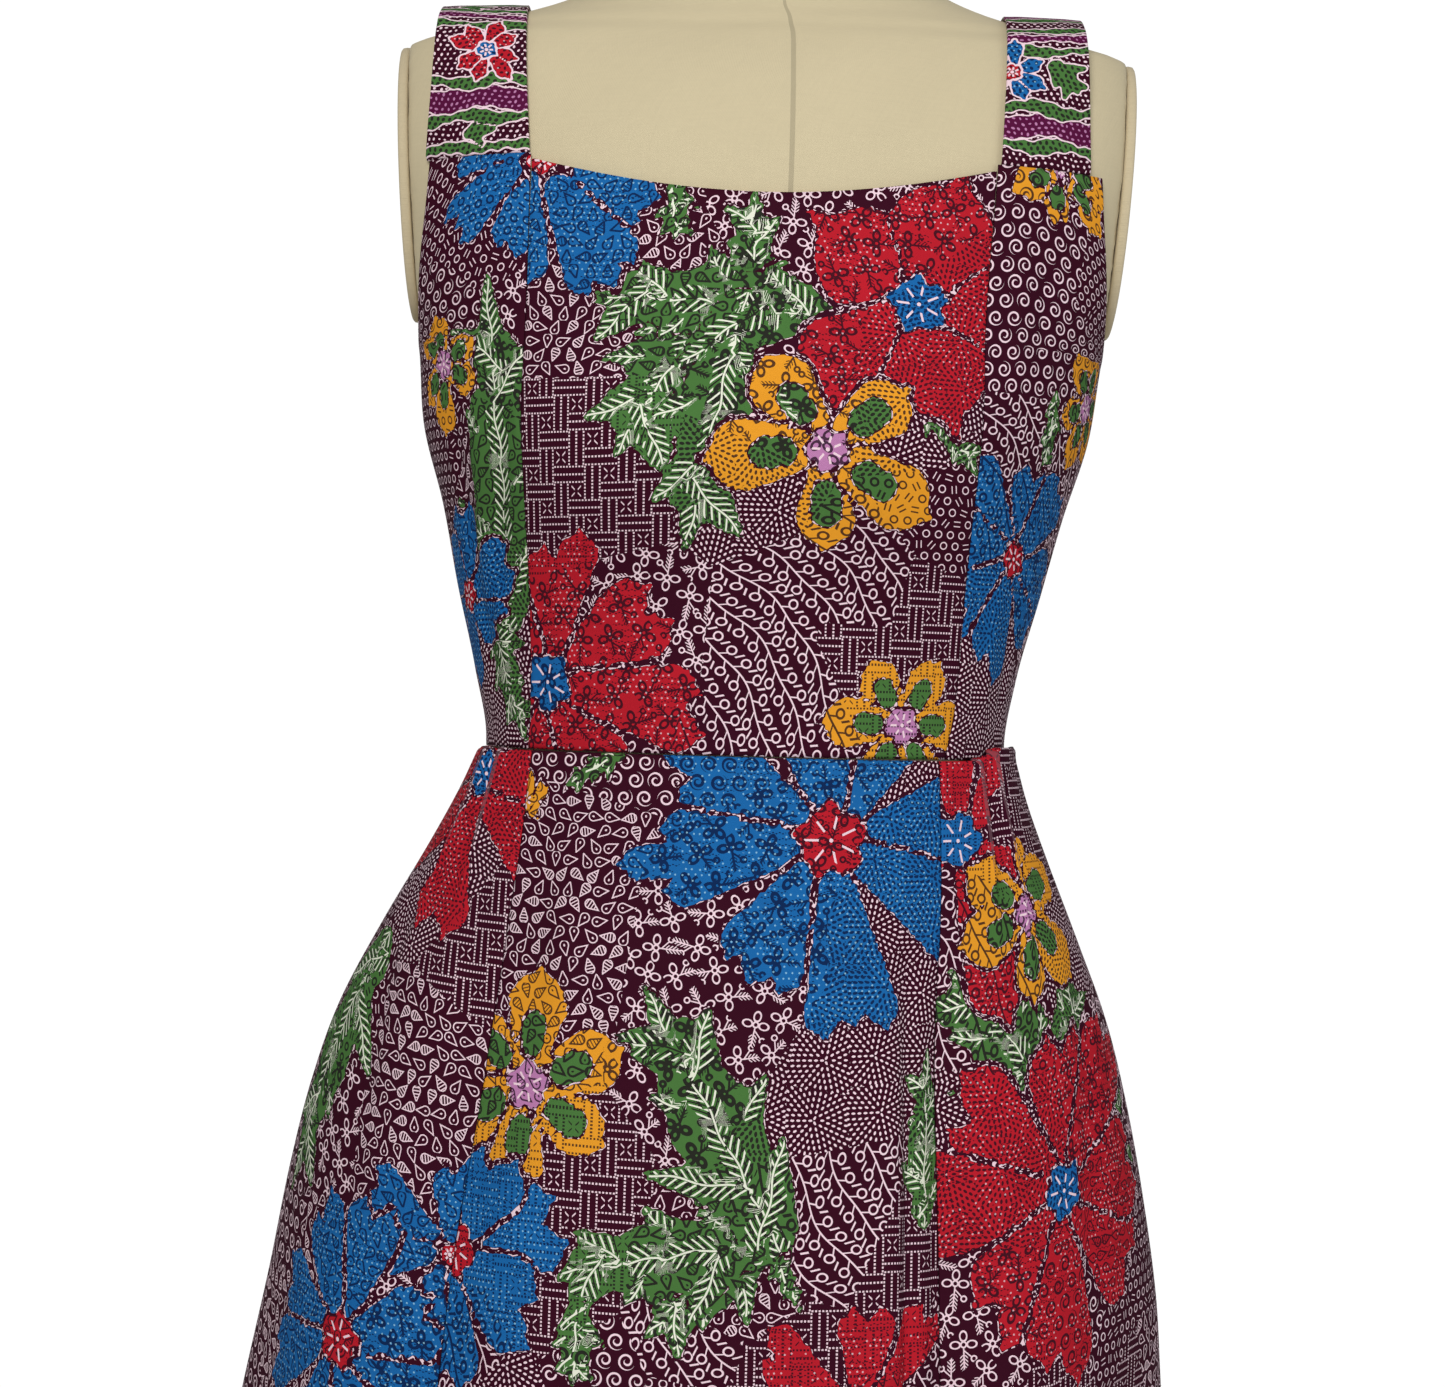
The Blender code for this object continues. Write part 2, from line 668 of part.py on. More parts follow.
def add_zip(group, cutters):
    """The closed zip, its slider at the top, and the pull tab that turns under the slider's bridge."""
    rows = even(30)

    def chain(s, t):
        point = zip_point(ZIP_FOOT + (ZIP_TOP - ZIP_FOOT) * t)
        # The sheet is seen from behind, so its columns run towards -X.
        return ZIP_HALF * (1 - 2 * s), point.y, point.z

    add_sheet("zip_chain", chain, even(1), rows, WALL, "tape", group)

    normal = normal_of(form_point, SLIDER_HEIGHT, math.pi)
    face = lifted(form_point, SLIDER_HEIGHT, math.pi, CLEAR + WALL + 2 * SEAM)
    tilt = math.atan2(normal.z, normal.y)
    place = Matrix.Translation((face + Vector((0, 0, WAIST))) * MM) @ Matrix.Rotation(tilt, 4, "X")

    wide, thick, long = SLIDER
    slider = add_box("zip_slider", SLIDER, (0, thick / 2, 0), "steel", group)
    bridge_size = (BRIDGE_WIDE, BRIDGE_OUT + 1, BRIDGE_LONG)
    bridge = add_box("bridge_block", bridge_size, (0, thick + (BRIDGE_OUT - 1) / 2, 0), None, cutters)
    hole_up, hole_out = BRIDGE_HOLE
    hole_size = (BRIDGE_WIDE + 2, hole_out, hole_up)
    hole = add_box("bridge_hole", hole_size, (0, thick + hole_out / 2, 0), None, cutters)
    cut(slider, bridge, "UNION")
    cut(slider, hole, "DIFFERENCE")

    # The tab's own origin is on its hinge line.
    across, out, length = PULL
    eye_wide, eye_long = PULL_EYE
    pull = add_box("zip_pull", PULL, (0, 0, PULL_BAR - length / 2), "steel", group)
    eye = add_box("pull_eye", (eye_wide, out + 2, eye_long), (0, 0, -PULL_BAR - eye_long / 2), None, cutters)
    cut(pull, eye, "DIFFERENCE")
    hinge = place @ Matrix.Translation(Vector((0, thick + HINGE_OUT, 0)) * MM)
    for piece in (slider, bridge, hole):
        piece.matrix_world = place
    for piece in (pull, eye):
        piece.matrix_world = hinge


def main():
    for thing in list(bpy.data.objects):
        bpy.data.objects.remove(thing)
    group = bpy.data.collections.new("batik_sundress_on_form")
    cutters = bpy.data.collections.new("cutters")
    for collection in (group, cutters):
        bpy.context.scene.collection.children.link(collection)
    add_torso(group)
    add_stand(group)
    add_arm_plates(group)
    add_bodice(group)
    add_straps(group)
    add_skirt(group)
    add_zip(group, cutters)


main()
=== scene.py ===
"""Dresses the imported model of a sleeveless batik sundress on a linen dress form.

Sizes are millimetres in the source's own frame: the dress faces -Y, heights count from the waist
seam, and an angle goes round the axis from the centre front (0) to +X (90) and the back (180).
Left and right are the viewer's. The surfaces repeat the source's functions, so that every piece
lies where its solid lies. Each sheet of cloth carries its flat coordinates and the print's signed
distances, and one material draws the batik from them.
"""

import math
from functools import partial, reduce

import bpy
import numpy as np
from mathutils import Matrix, Vector


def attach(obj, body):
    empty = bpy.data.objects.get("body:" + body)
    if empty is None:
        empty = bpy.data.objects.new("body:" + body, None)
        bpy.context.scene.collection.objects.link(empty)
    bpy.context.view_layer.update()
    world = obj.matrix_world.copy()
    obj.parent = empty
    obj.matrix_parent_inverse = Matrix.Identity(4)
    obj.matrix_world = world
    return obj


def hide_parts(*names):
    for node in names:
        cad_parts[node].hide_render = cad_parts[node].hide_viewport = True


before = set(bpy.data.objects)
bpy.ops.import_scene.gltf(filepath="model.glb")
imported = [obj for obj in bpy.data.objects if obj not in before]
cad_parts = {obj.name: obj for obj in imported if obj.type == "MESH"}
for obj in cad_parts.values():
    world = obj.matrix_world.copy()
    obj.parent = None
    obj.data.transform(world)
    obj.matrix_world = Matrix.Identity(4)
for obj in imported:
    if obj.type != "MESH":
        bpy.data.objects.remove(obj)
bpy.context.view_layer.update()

MM = 0.001

# Values shared with the source
WAIST = 1050.0
HEM = -620.0
FORM_BOTTOM = -255.0
FORM_TOP = 430.0
STRAP_SEAM = 266.5
UNDERARM = 185.0
NECK_DIP = 248.5
NECK_CORNER = 263.5
NECK_HALF = 104.0
WALL = 1.5
STRAP_WALL = 2.2
CLEAR = 1.5
ARMHOLE_EASE = 0.9
STRAP_CLEAR = 0.6
SEAM = 0.3
POLE_RADIUS = 16.0
BASE_RADIUS = 195.0
BOSS_HEIGHT = 74.0
CAP_RADIUS = 52.0
PLATE_FOOT = 200.0
PLATE_TOP = 330.0
PLATE_REACH = 160.2
PLATE_LEAN = 0.0615
PLATE_HALF_WIDTH = 41.0
PLATE_THICK = 4.7
ZIP_HALF = 2.5
ZIP_TOP = 246.0
ZIP_FOOT = -180.0
ZIP_CLOSES = 15.0

# Height, left reach, right reach, front, back, squareness of the section
FORM = (
    (FORM_BOTTOM, 158, 154, 102, 110, 2.2),
    (-215, 166, 162, 108, 119, 2.2),
    (-165, 166, 162, 108, 121, 2.2),
    (-110, 156, 152, 105, 115, 2.1),
    (-55, 139, 135, 101, 104, 2.1),
    (0, 122.3, 117.8, 95, 92, 2.1),
    (38, 128.5, 122.5, 96, 94, 2.1),
    (76, 137.5, 132.5, 98, 97, 2.1),
    (115, 145.5, 142.5, 100, 101, 2.2),
    (150, 155, 153, 102, 104, 2.3),
    (190, 158.8, 158.8, 101, 107, 2.4),
    (220, 166, 166, 98, 107, 2.4),
    (245, 171.5, 171.5, 95, 105, 2.4),
    (270, 177, 177, 90, 102, 2.4),
    (295, 178, 178, 81, 95, 2.4),
    (315, 176, 176, 71, 86, 2.4),
    (324, 174, 174, 65, 80, 2.4),
    (329.5, 169, 169, 61, 76, 2.4),
    (333.5, 155, 155, 58, 73, 2.4),
    (338, 141, 141, 56, 70, 2.4),
    (342.5, 127, 127, 53, 67, 2.3),
    (347, 111, 111, 51, 64, 2.3),
    (353.5, 94, 94, 49, 61, 2.2),
    (362, 78, 78, 49, 58, 2.1),
    (374, 66, 66, 50, 56, 2.0),
    (388, 59.5, 59.5, 51, 55, 2.0),
    (405, 57, 57, 52, 55, 2.0),
    (FORM_TOP, 56, 56, 53, 56, 2.0),
)
BUST = (26.0, 80.0, 135.0, 70.0, 50.0)
SKIRT = (
    (0, 128.3, 126.2, 99.3, 96.5, 2.1),
    (-20, 137, 132, 103, 101, 2.1),
    (-45, 150, 141.5, 108, 109, 2.05),
    (-85, 172.5, 157.8, 116, 121, 2.0),
    (-123, 191.5, 172.5, 123.5, 131, 2.0),
    (-161, 204, 182.8, 130.5, 139, 2.0),
    (-200, 212.7, 190.5, 137, 146, 2.0),
    (-250, 221, 197.5, 144, 153, 2.0),
    (-308, 231.5, 200.8, 152, 160, 2.0),
    (-400, 246, 212, 163, 170, 2.0),
    (-500, 263, 223, 175, 181, 2.0),
    (HEM, 281, 236, 188, 194, 2.0),
)
BODICE_SEAMS = (
    (0, -99.6, 86.0),
    (27, -99.0, 90.4),
    (70, -100.2, 92.3),
    (112, -102.3, 94.0),
    (155, -104.2, 96.5),
    (200, -104.0, 97.8),
    (264, -104.6, 102.5),
)
SKIRT_SEAMS = (
    (0, -99.6, 85.0),
    (-38, -102.6, 85.8),
    (-77, -109.0, 86.8),
    (-116, -114.6, 87.7),
    (-157, -119.2, 89.0),
    (-214, -127.0, 90.9),
    (-270, -132.0, 92.3),
    (HEM, -154.0, 99.0),
)
STRAPS = (
    ("left", -106.0, -112.8, -154.0, -152.4),
    ("right", 104.8, 110.0, 146.2, 145.8),
)
FOLDS = (
    ("right_seam", 0.0, 6.0, -7.0, -45.0, -150.0),
    ("right_seam", -8.0, 6.0, 5.0, -70.0, -180.0),
    ("right_seam", 12.0, 9.0, 5.0, -90.0, -300.0),
    ("left_seam", 0.0, 6.0, -5.0, -20.0, -120.0),
    ("left_seam", 11.0, 8.0, 4.0, -60.0, -240.0),
    ("left_seam", -14.0, 9.0, 5.0, -90.0, -300.0),
    ("centre", -4.0, 11.0, 6.0, -200.0, -600.0),
    ("centre", 66.0, 10.0, -6.0, -120.0, -400.0),
    ("centre", -74.0, 10.0, -6.0, -120.0, -400.0),
    ("centre", 88.0, 12.0, 6.0, -150.0, -450.0),
    ("centre", -94.0, 12.0, 5.0, -150.0, -450.0),
    ("centre", 112.0, 11.0, -6.0, -60.0, -350.0),
    ("centre", -116.0, 11.0, -6.0, -60.0, -350.0),
    ("centre", 134.0, 11.0, 7.0, -60.0, -350.0),
    ("centre", -138.0, 11.0, 7.0, -60.0, -350.0),
    ("centre", 157.0, 11.0, -6.0, -60.0, -350.0),
    ("centre", -160.0, 10.0, -6.0, -60.0, -350.0),
)
# Panel, share of its width, out, foot
PLEATS = (
    ("skirt_front_side_right", 0.24, 2.6, -95.0),
    ("skirt_front_side_right", 0.39, 3.0, -110.0),
    ("skirt_front_side_left", 0.74, 2.4, -85.0),
    ("skirt_front_side_left", 0.54, 2.8, -105.0),
    ("skirt_back_right", 0.34, 2.6, -100.0),
    ("skirt_back_right", 0.48, 2.6, -100.0),
    ("skirt_back_left", 0.66, 2.6, -100.0),
    ("skirt_back_left", 0.52, 2.6, -100.0),
)
PLEAT_SPREAD = 0.12

# Finer form of the cloth
CLOTH = 0.8  # thickness of one layer
HEMMED = 1.7  # thickness at a turned edge
HEM_DEPTH = 6.0  # over which the turned edge thins out
SEAM_DIP = 0.6  # how deep a seam's edges roll in
SEAM_ROLL = 1.3  # half width of that roll
PLEAT_HALF = 5.5  # half the cloth that turns in a knife pleat
PLEAT_LAP = 8.0  # how far its fold laps over at the waist
PLEAT_LIP = 1.8  # how far the fold's edge stands off
PLEAT_GROOVE = 1.6  # how far the cloth beneath it goes in
ARMHOLE_AT_STRAP = 56.3  # the side fronts reach as far out as the straps
WAIST_RISE = 6.0  # how far the right side of the skirt's top stands above the seam
RIM_BULGE = 0.35  # how far a turned rim swells, over its extra thickness
STRAP_PILLOW = 0.35  # how far a strap's face falls off towards its edges
BODICE_TOP = STRAP_SEAM - SEAM
SMALL_TURN = math.radians(0.5)  # steps from which a surface's slopes are taken
SMALL_RISE = 0.5


def smooth_table(rows):
    data = np.array(sorted(rows), float)
    heights, values = data[:, 0], data[:, 1:]
    rises = np.diff(values, axis=0) / np.diff(heights)[:, None]
    slopes = np.empty_like(values)
    slopes[0], slopes[-1] = rises[0], rises[-1]
    slopes[1:-1] = (rises[:-1] + rises[1:]) / 2

    def at(height):
        height = np.clip(height, heights[0], heights[-1])
        i = np.searchsorted(heights[1:-1], height)
        span = (heights[i + 1] - heights[i])[..., None]
        t = (height - heights[i])[..., None] / span
        return (
            (2 * t**3 - 3 * t**2 + 1) * values[i]
            + (t**3 - 2 * t**2 + t) * span * slopes[i]
            + (3 * t**2 - 2 * t**3) * values[i + 1]
            + (t**3 - t**2) * span * slopes[i + 1]
        )

    return at


form_at = smooth_table(FORM)
skirt_at = smooth_table(SKIRT)
bodice_seams_at = smooth_table(BODICE_SEAMS)
skirt_seams_at = smooth_table(SKIRT_SEAMS)


def ease(start, end, value):
    t = np.clip((np.asarray(value, float) - start) / (end - start), 0, 1)
    return t * t * (3 - 2 * t)


def bell(value, width):
    return np.exp(-((value / width) ** 2))


def oval(section, angle):
    left, right, front, back, square = np.moveaxis(section, -1, 0)
    s, c = np.sin(angle), np.cos(angle)
    x = np.where(s > 0, right, left) * np.sign(s) * np.abs(s) ** (2 / square)
    y = -np.where(c > 0, front, back) * np.sign(c) * np.abs(c) ** (2 / square)
    return x, y


def oval_angle(section, x):
    reach = np.where(x > 0, section[..., 1], section[..., 0])
    return np.sign(x) * np.arcsin(np.minimum(np.abs(x) / reach, 1) ** (section[..., 4] / 2))


def arm_flat(height):
    return PLATE_REACH + PLATE_LEAN * (height - PLATE_FOOT)


def form_point(height, angle):
    height, angle = np.broadcast_arrays(np.asarray(height, float), np.asarray(angle, float))
    x, y = oval(form_at(height), angle)
    flat = np.where(height > UNDERARM, arm_flat(height), 1e6)
    x = np.clip(x, -flat, flat)
    out, apart, middle, across, up = BUST
    swell = bell(x - apart, across) + bell(x + apart, across)
    y = y - out * swell * np.maximum(np.cos(angle), 0) * bell(height - middle, up)
    return np.stack([x, y, height], -1)


def line_angle(line, height):
    if line == "centre":
        return np.zeros_like(height)
    return oval_angle(skirt_at(height), skirt_seams_at(height)[..., 0 if line == "left_seam" else 1])


def skirt_point(height, angle):
    height, angle = np.broadcast_arrays(np.asarray(height, float), np.asarray(angle, float))
    x, y = oval(skirt_at(height), angle)
    out = np.zeros_like(x)
    for line, beside_it, half_width, depth, start, full in FOLDS:
        turn = np.degrees(angle - line_angle(line, height)) - beside_it
        turn = (turn + 180) % 360 - 180
        out += depth * bell(turn, half_width) * ease(start, full, height)
    grow = 1 + out / np.hypot(x, y)
    return np.stack([x * grow, y * grow, height], -1)


def unit(vectors):
    return vectors / np.maximum(np.linalg.norm(vectors, axis=-1, keepdims=True), 1e-9)


def normal_of(surface, height, angle):
    across = surface(height, angle + SMALL_TURN) - surface(height, angle - SMALL_TURN)
    up = surface(height + SMALL_RISE, angle) - surface(height - SMALL_RISE, angle)
    return unit(np.cross(across, up))


def lifted(surface, height, angle, lift):
    return surface(height, angle) + normal_of(surface, height, angle) * np.asarray(lift)[..., None]


def beside(surface, height, angle, gap):
    """The angle of a line that runs beside another one at a gap."""
    step = surface(height, angle + SMALL_TURN) - surface(height, angle - SMALL_TURN)
    return angle + gap * 2 * SMALL_TURN / np.linalg.norm(step, axis=-1)


def armhole_angle(height_share):
    at_strap = math.radians(ARMHOLE_AT_STRAP)
    return at_strap + (math.pi / 2 - at_strap) * (1 - np.sqrt(height_share)) ** 1.1


def neckline(x):
    return NECK_DIP + (NECK_CORNER - NECK_DIP) * np.minimum(np.abs(x) / NECK_HALF, 1) ** 2


def zip_gap(height):
    return SEAM / 2 + (ZIP_HALF + SEAM / 2) * ease(ZIP_FOOT - SEAM - ZIP_CLOSES, ZIP_FOOT - SEAM, height)


def centre_back(table, sign):
    """The edge beside the zip, with the reach at the back from the bodice's or the skirt's table."""
    return lambda height: sign * (math.pi - (zip_gap(height) - SEAM / 2) / table(height)[..., 3])


# Meshes
def in_metres(points):
    """From millimetres about the waist to metres above the floor."""
    points = np.asarray(points) * MM
    points[..., 2] += WAIST * MM
    return points


def add_attribute(made, key, vectors):
    layer = made.data.attributes.new(key, "FLOAT_VECTOR", "POINT")
    layer.data.foreach_set("vector", vectors.astype(np.float32).ravel())


def stand_for(made, name):
    """The piece rides on the dressed form and takes the place of a solid."""
    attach(made, "dress_and_form")
    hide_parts(name)


def add_object(name, data):
    made = bpy.data.objects.new(name, data)
    bpy.context.scene.collection.objects.link(made)
    return made


def add_mesh(name, points, faces, materials, indices=None, sharp=None):
    mesh = bpy.data.meshes.new(name)
    mesh.from_pydata(np.asarray(points).reshape(-1, 3).tolist(), [], faces)
    mesh.update()
    made = add_object(name, mesh)
    for material in materials:
        mesh.materials.append(material)
    if indices is not None:
        mesh.polygons.foreach_set("material_index", indices)
    mesh.shade_smooth()
    if sharp is not None:
        mesh.set_sharp_from_angle(angle=math.radians(sharp))
    return made


def grid_faces(rows, columns, start=0, flip=False):
    j, i = np.meshgrid(np.arange(rows - 1), np.arange(columns - 1), indexing="ij")
    a = (start + j * columns + i).ravel()
    quads = np.stack([a, a + 1, a + columns + 1, a + columns], -1)
    return (quads[:, ::-1] if flip else quads).tolist()


def grid_normal(points):
    across = np.gradient(points, axis=1)
    up = np.gradient(points, axis=0)
    return unit(np.cross(across, up))


def rim_of(rows, columns):
    """Indices of a grid's border, once round."""
    bottom = np.arange(columns)
    right = np.arange(1, rows) * columns + columns - 1
    top = (rows - 1) * columns + np.arange(columns - 2, -1, -1)
    left = np.arange(rows - 2, 0, -1) * columns
    return np.concatenate([bottom, right, top, left])


def add_shell(name, outer, thick, face_material, back_material, attributes):
    """A sheet of cloth with its two faces and a rounded rim."""
    rows, columns = outer.shape[:2]
    count = rows * columns
    normal = grid_normal(outer)
    rim = rim_of(rows, columns)
    flat_outer = outer.reshape(-1, 3)
    flat_inner = (outer - normal * thick[..., None]).reshape(-1, 3)
    edge = flat_outer[rim]
    along = unit(np.roll(edge, -1, 0) - np.roll(edge, 1, 0))
    outward = unit(np.cross(along, normal.reshape(-1, 3)[rim]))
    bulge = RIM_BULGE * np.maximum(thick.ravel()[rim] - CLOTH, 0)
    middle = (edge + flat_inner[rim]) / 2 + outward * bulge[:, None]
    faces = grid_faces(rows, columns) + grid_faces(rows, columns, count, flip=True)
    face_count = len(faces)
    after = np.roll(rim, -1)
    mid = 2 * count + np.arange(len(rim))
    mid_after = np.roll(mid, -1)
    faces += np.stack([after, rim, mid, mid_after], -1).tolist()
    faces += np.stack([mid_after, mid, rim + count, after + count], -1).tolist()
    indices = np.zeros(len(faces), np.int32)
    indices[face_count // 2 : face_count] = 1
    points = in_metres(np.concatenate([flat_outer, flat_inner, middle]))
    made = add_mesh(name, points, faces, [face_material, back_material], indices)
    for key, value in attributes.items():
        value = value.reshape(count, 3)
        add_attribute(made, key, np.concatenate([value, value, value[rim]]))
    add_bake_map(made, rows, columns, face_count, len(rim))
    return made


def add_bake_map(made, rows, columns, face_count, rim_count):
    """A plain map of both faces and the rim, side by side, for a bake."""
    margin, tall, face_wide, face_step, strip_wide = 0.01, 0.98, 0.46, 0.48, 0.012
    mesh = made.data
    loops = np.zeros(len(mesh.loops), np.int32)
    mesh.loops.foreach_get("vertex_index", loops)
    uv = np.zeros((len(loops), 2))
    on_grid = face_count * 4
    grid = loops[:on_grid] % (rows * columns)
    back = np.arange(on_grid) >= on_grid // 2
    uv[:on_grid, 0] = (grid % columns) / (columns - 1) * face_wide + margin + face_step * back
    uv[:on_grid, 1] = (grid // columns) / (rows - 1) * tall + margin
    k = np.arange(rim_count)
    low, high = k / rim_count * tall + margin, (k + 1) / rim_count * tall + margin
    strip = np.stack([high, low, low, high], -1).ravel()
    side = np.tile([0.0, 0.0, 1.0, 1.0], rim_count)
    for start, left in ((on_grid, 0.965), (on_grid + 4 * rim_count, 0.980)):
        uv[start : start + 4 * rim_count] = np.stack([left + strip_wide * side, strip], -1)
    mesh.uv_layers.new(name="OFBake").data.foreach_set("uv", uv.ravel())


def turned(name, profile, materials, matrix=Matrix(), scale=(1, 1), steps=96, sharp=35):
    """A turned piece from the radii and heights of its side, bottom to top, in millimetres."""
    angle = np.linspace(0, 2 * math.pi, steps, endpoint=False)
    rings, points = [], []
    for radius, height in profile:
        if radius < 1e-6:
            rings.append([len(points)])
            points.append((0, 0, height))
        else:
            rings.append(list(range(len(points), len(points) + steps)))
            wide, deep = radius * scale[0], radius * scale[1]
            points += [(wide * math.cos(a), deep * math.sin(a), height) for a in angle]
    faces = []
    for low, high in zip(rings, rings[1:]):
        for i in range(steps):
            k = (i + 1) % steps
            if len(low) == 1:
                faces.append((low[0], high[k], high[i]))
            elif len(high) == 1:
                faces.append((low[i], low[k], high[0]))
            else:
                faces.append((low[i], low[k], high[k], high[i]))
    points = [matrix @ Vector(p) * MM for p in points]
    return add_mesh(name, points, faces, materials, sharp=sharp)


def rounded(profile, radius, steps=4):
    """The profile with its inner corners rounded."""
    points = [np.array(p, float) for p in profile]
    made = [points[0]]
    for before, corner, after in zip(points, points[1:], points[2:]):
        a, b = before - corner, after - corner
        r = min(radius, 0.45 * np.linalg.norm(a), 0.45 * np.linalg.norm(b))
        p, q = corner + unit(a) * r, corner + unit(b) * r
        for k in range(steps + 1):
            t = k / steps
            made.append(p * (1 - t) ** 2 + corner * 2 * t * (1 - t) + q * t**2)
    made.append(points[-1])
    return [tuple(p) for p in made]


# The print's motifs
INKS = ("red", "blue", "yellow", "green", "pink", "magenta")
FILLS = ("tear", "spiral", "basket", "berry", "burst", "ring", "dots", "sprig", "none")
FAR = 40.0


def capsule(q, a, b, radius_a, radius_b):
    """Signed distance to a tapered capsule, with the lengths along it and across it."""
    a, b = np.asarray(a, float), np.asarray(b, float)
    axis = b - a
    length = max(np.linalg.norm(axis), 1e-6)
    away = q - a
    along = (away @ axis) / length
    across = (away[..., 1] * axis[0] - away[..., 0] * axis[1]) / length
    share = np.clip(along / length, 0, 1)
    gap = np.hypot(along - share * length, across)
    return gap - (radius_a + (radius_b - radius_a) * share), along, across


def heading(degrees):
    angle = math.radians(degrees)
    return np.array([math.cos(angle), math.sin(angle)])


def find(cut, points, x, height):
    """The flat coordinates of the point seen from the front at x and a height."""
    gap = (points[..., 0] - x) ** 2 + (points[..., 2] - height) ** 2
    return cut.reshape(-1, 2)[int(np.argmin(gap))]


class Print:
    """The distances to each ink and each filler over one sheet of cloth."""

    def __init__(self, cut, rough=1.0):
        self.cut = cut
        shape = cut.shape[:-1]
        self.inks = {ink: np.full(shape, FAR) for ink in INKS}
        self.fills = {fill: np.full(shape, FAR) for fill in FILLS}
        self.vein = np.full((*shape, 3), FAR)
        self.heart = np.full((*shape, 3), FAR)
        u, v = cut[..., 0], cut[..., 1]
        slow = np.sin(u * 0.71 + 1.7 * np.sin(v * 0.43)) * np.sin(v * 0.67 + 1.3 * np.sin(u * 0.39))
        quick = np.sin(u * 1.15 + 1.1 * np.sin(v * 0.8)) * np.sin(v * 1.05 + 0.9 * np.sin(u * 0.9))
        self.wobble = rough * (0.75 * slow + 0.55 * quick)

    def stroke(self, a, b, radius_a, radius_b):
        return capsule(self.cut, a, b, radius_a, radius_b)[0]

    def paint(self, ink, gap, margin):
        """An ink covers the others out to a margin beyond its own edge."""
        gap = gap + self.wobble
        for other in INKS:
            self.inks[other] = np.maximum(self.inks[other], margin - gap)
        self.inks[ink] = np.minimum(self.inks[ink], gap)

    def fingered_petal(self, at, way, size, width, fingers, k):
        """A petal with one, two or three pointed fingers."""
        side = np.array([-way[1], way[0]])
        tip_radius = width * (0.88, 0.54, 0.39)[fingers - 1]
        spread = (0, 0.5, 0.7)[fingers - 1]
        gap = np.full(self.cut.shape[:-1], FAR)
        for j in range(fingers):
            place = 0 if fingers == 1 else 2 * j / (fingers - 1) - 1
            reach = size * (1 - 0.10 * abs(place) - 0.07 * math.sin(5 * k + 3 * j))
            tip = at + way * (reach - tip_radius * 1.15) + side * place * width * spread
            finger = self.stroke(at + way * size * 0.22, tip, width * 0.40, tip_radius)
            point = self.stroke(tip, tip + way * tip_radius * 1.4, tip_radius * 0.72, 0.6)
            gap = np.minimum(gap, np.minimum(finger, point))
        return gap

    def round_petal(self, at, way, size):
        tip = at + way * size * 0.70
        petal = self.stroke(at + way * size * 0.32, tip, size * 0.20, size * 0.31)
        return np.minimum(petal, self.stroke(tip, at + way * size * 1.08, size * 0.24, 0.8))

    def flower(self, at, ink, length, count, first, fingers, width, heart, heart_radius):
        """A flower with a ragged heart. Petals without fingers are round, with a green middle."""
        at = np.asarray(at, float)
        ways = [heading(first + 360 / count * (k + 0.12 * math.sin(3.1 * k + first))) for k in range(count)]
        for k, way in enumerate(ways):
            size = length * (1 + 0.11 * math.sin(2.3 * k + first))
            if fingers:
                gap = self.fingered_petal(at, way, size, width, fingers, k)
            else:
                gap = self.round_petal(at, way, size)
            self.paint(ink, gap, min(3.0, 0.045 * length + 0.3))
        if not fingers:
            for way in ways:
                foot, end = at + way * length * 0.42, at + way * length * 0.58
                self.paint("green", self.stroke(foot, end, length * 0.13, length * 0.14), 0.8)
        away = self.cut - at
        around = np.arctan2(away[..., 1], away[..., 0])
        ragged = heart_radius * (1 + 0.13 * np.sin(5 * around + first) + 0.08 * np.sin(9 * around))
        reach = np.hypot(away[..., 0], away[..., 1])
        self.paint(heart, reach - ragged, 1.2)
        close = reach < heart_radius * 1.6
        self.heart[close] = np.stack([away[..., 0], away[..., 1], reach - ragged], -1)[close]

    def leaf(self, base, tip, width, lobes=3):
        """A leaf with pointed lobes on both sides, each with its own vein."""
        base, tip = np.asarray(base, float), np.asarray(tip, float)
        axis = tip - base
        way = axis / np.linalg.norm(axis)
        side = np.array([-way[1], way[0]])
        middle = base + axis * 0.45
        parts = [(base, middle, width * 0.6, width * 1.25), (middle, tip, width * 1.25, 1.0)]
        for k in range(lobes):
            share = 0.12 + 0.56 * k / max(lobes - 1, 1)
            for sign in (-1, 1):
                root = base + axis * (share + 0.06 * sign)
                reach = width * (2.6 - 1.2 * share) * (1 + 0.15 * math.sin(4 * k + sign))
                lean = math.radians(48 + 8 * math.sin(3 * k + sign))
                end = root + (way * math.cos(lean) + side * sign * math.sin(lean)) * reach
                parts.append((root, end, width * 0.92, 1.2))
        gaps, places = [], []
        for part in parts:
            gap, along, across = capsule(self.cut, *part)
            gaps.append(gap)
            places.append(np.stack([along, across + 0.9 * np.sin(along * 0.24)], -1))
        gaps = np.stack(gaps, -1)
        whole = gaps.min(-1)
        nearest = gaps.argmin(-1)[..., None]
        # The midrib's two halves count as one, so that its vein runs through
        apart = gaps.copy()
        apart[..., :2] = apart[..., :2].min(-1, keepdims=True)
        own = np.take_along_axis(apart, nearest, -1)
        apart[np.abs(apart - own) < 1e-9] = FAR
        clear = apart.min(-1, keepdims=True) - own
        vein = np.take_along_axis(np.stack(places, -2), nearest[..., None], -2)[..., 0, :]
        vein = np.concatenate([vein, clear], -1)
        covered = whole < 1.5
        self.vein[covered] = vein[covered]
        self.paint("green", whole, 1.0)

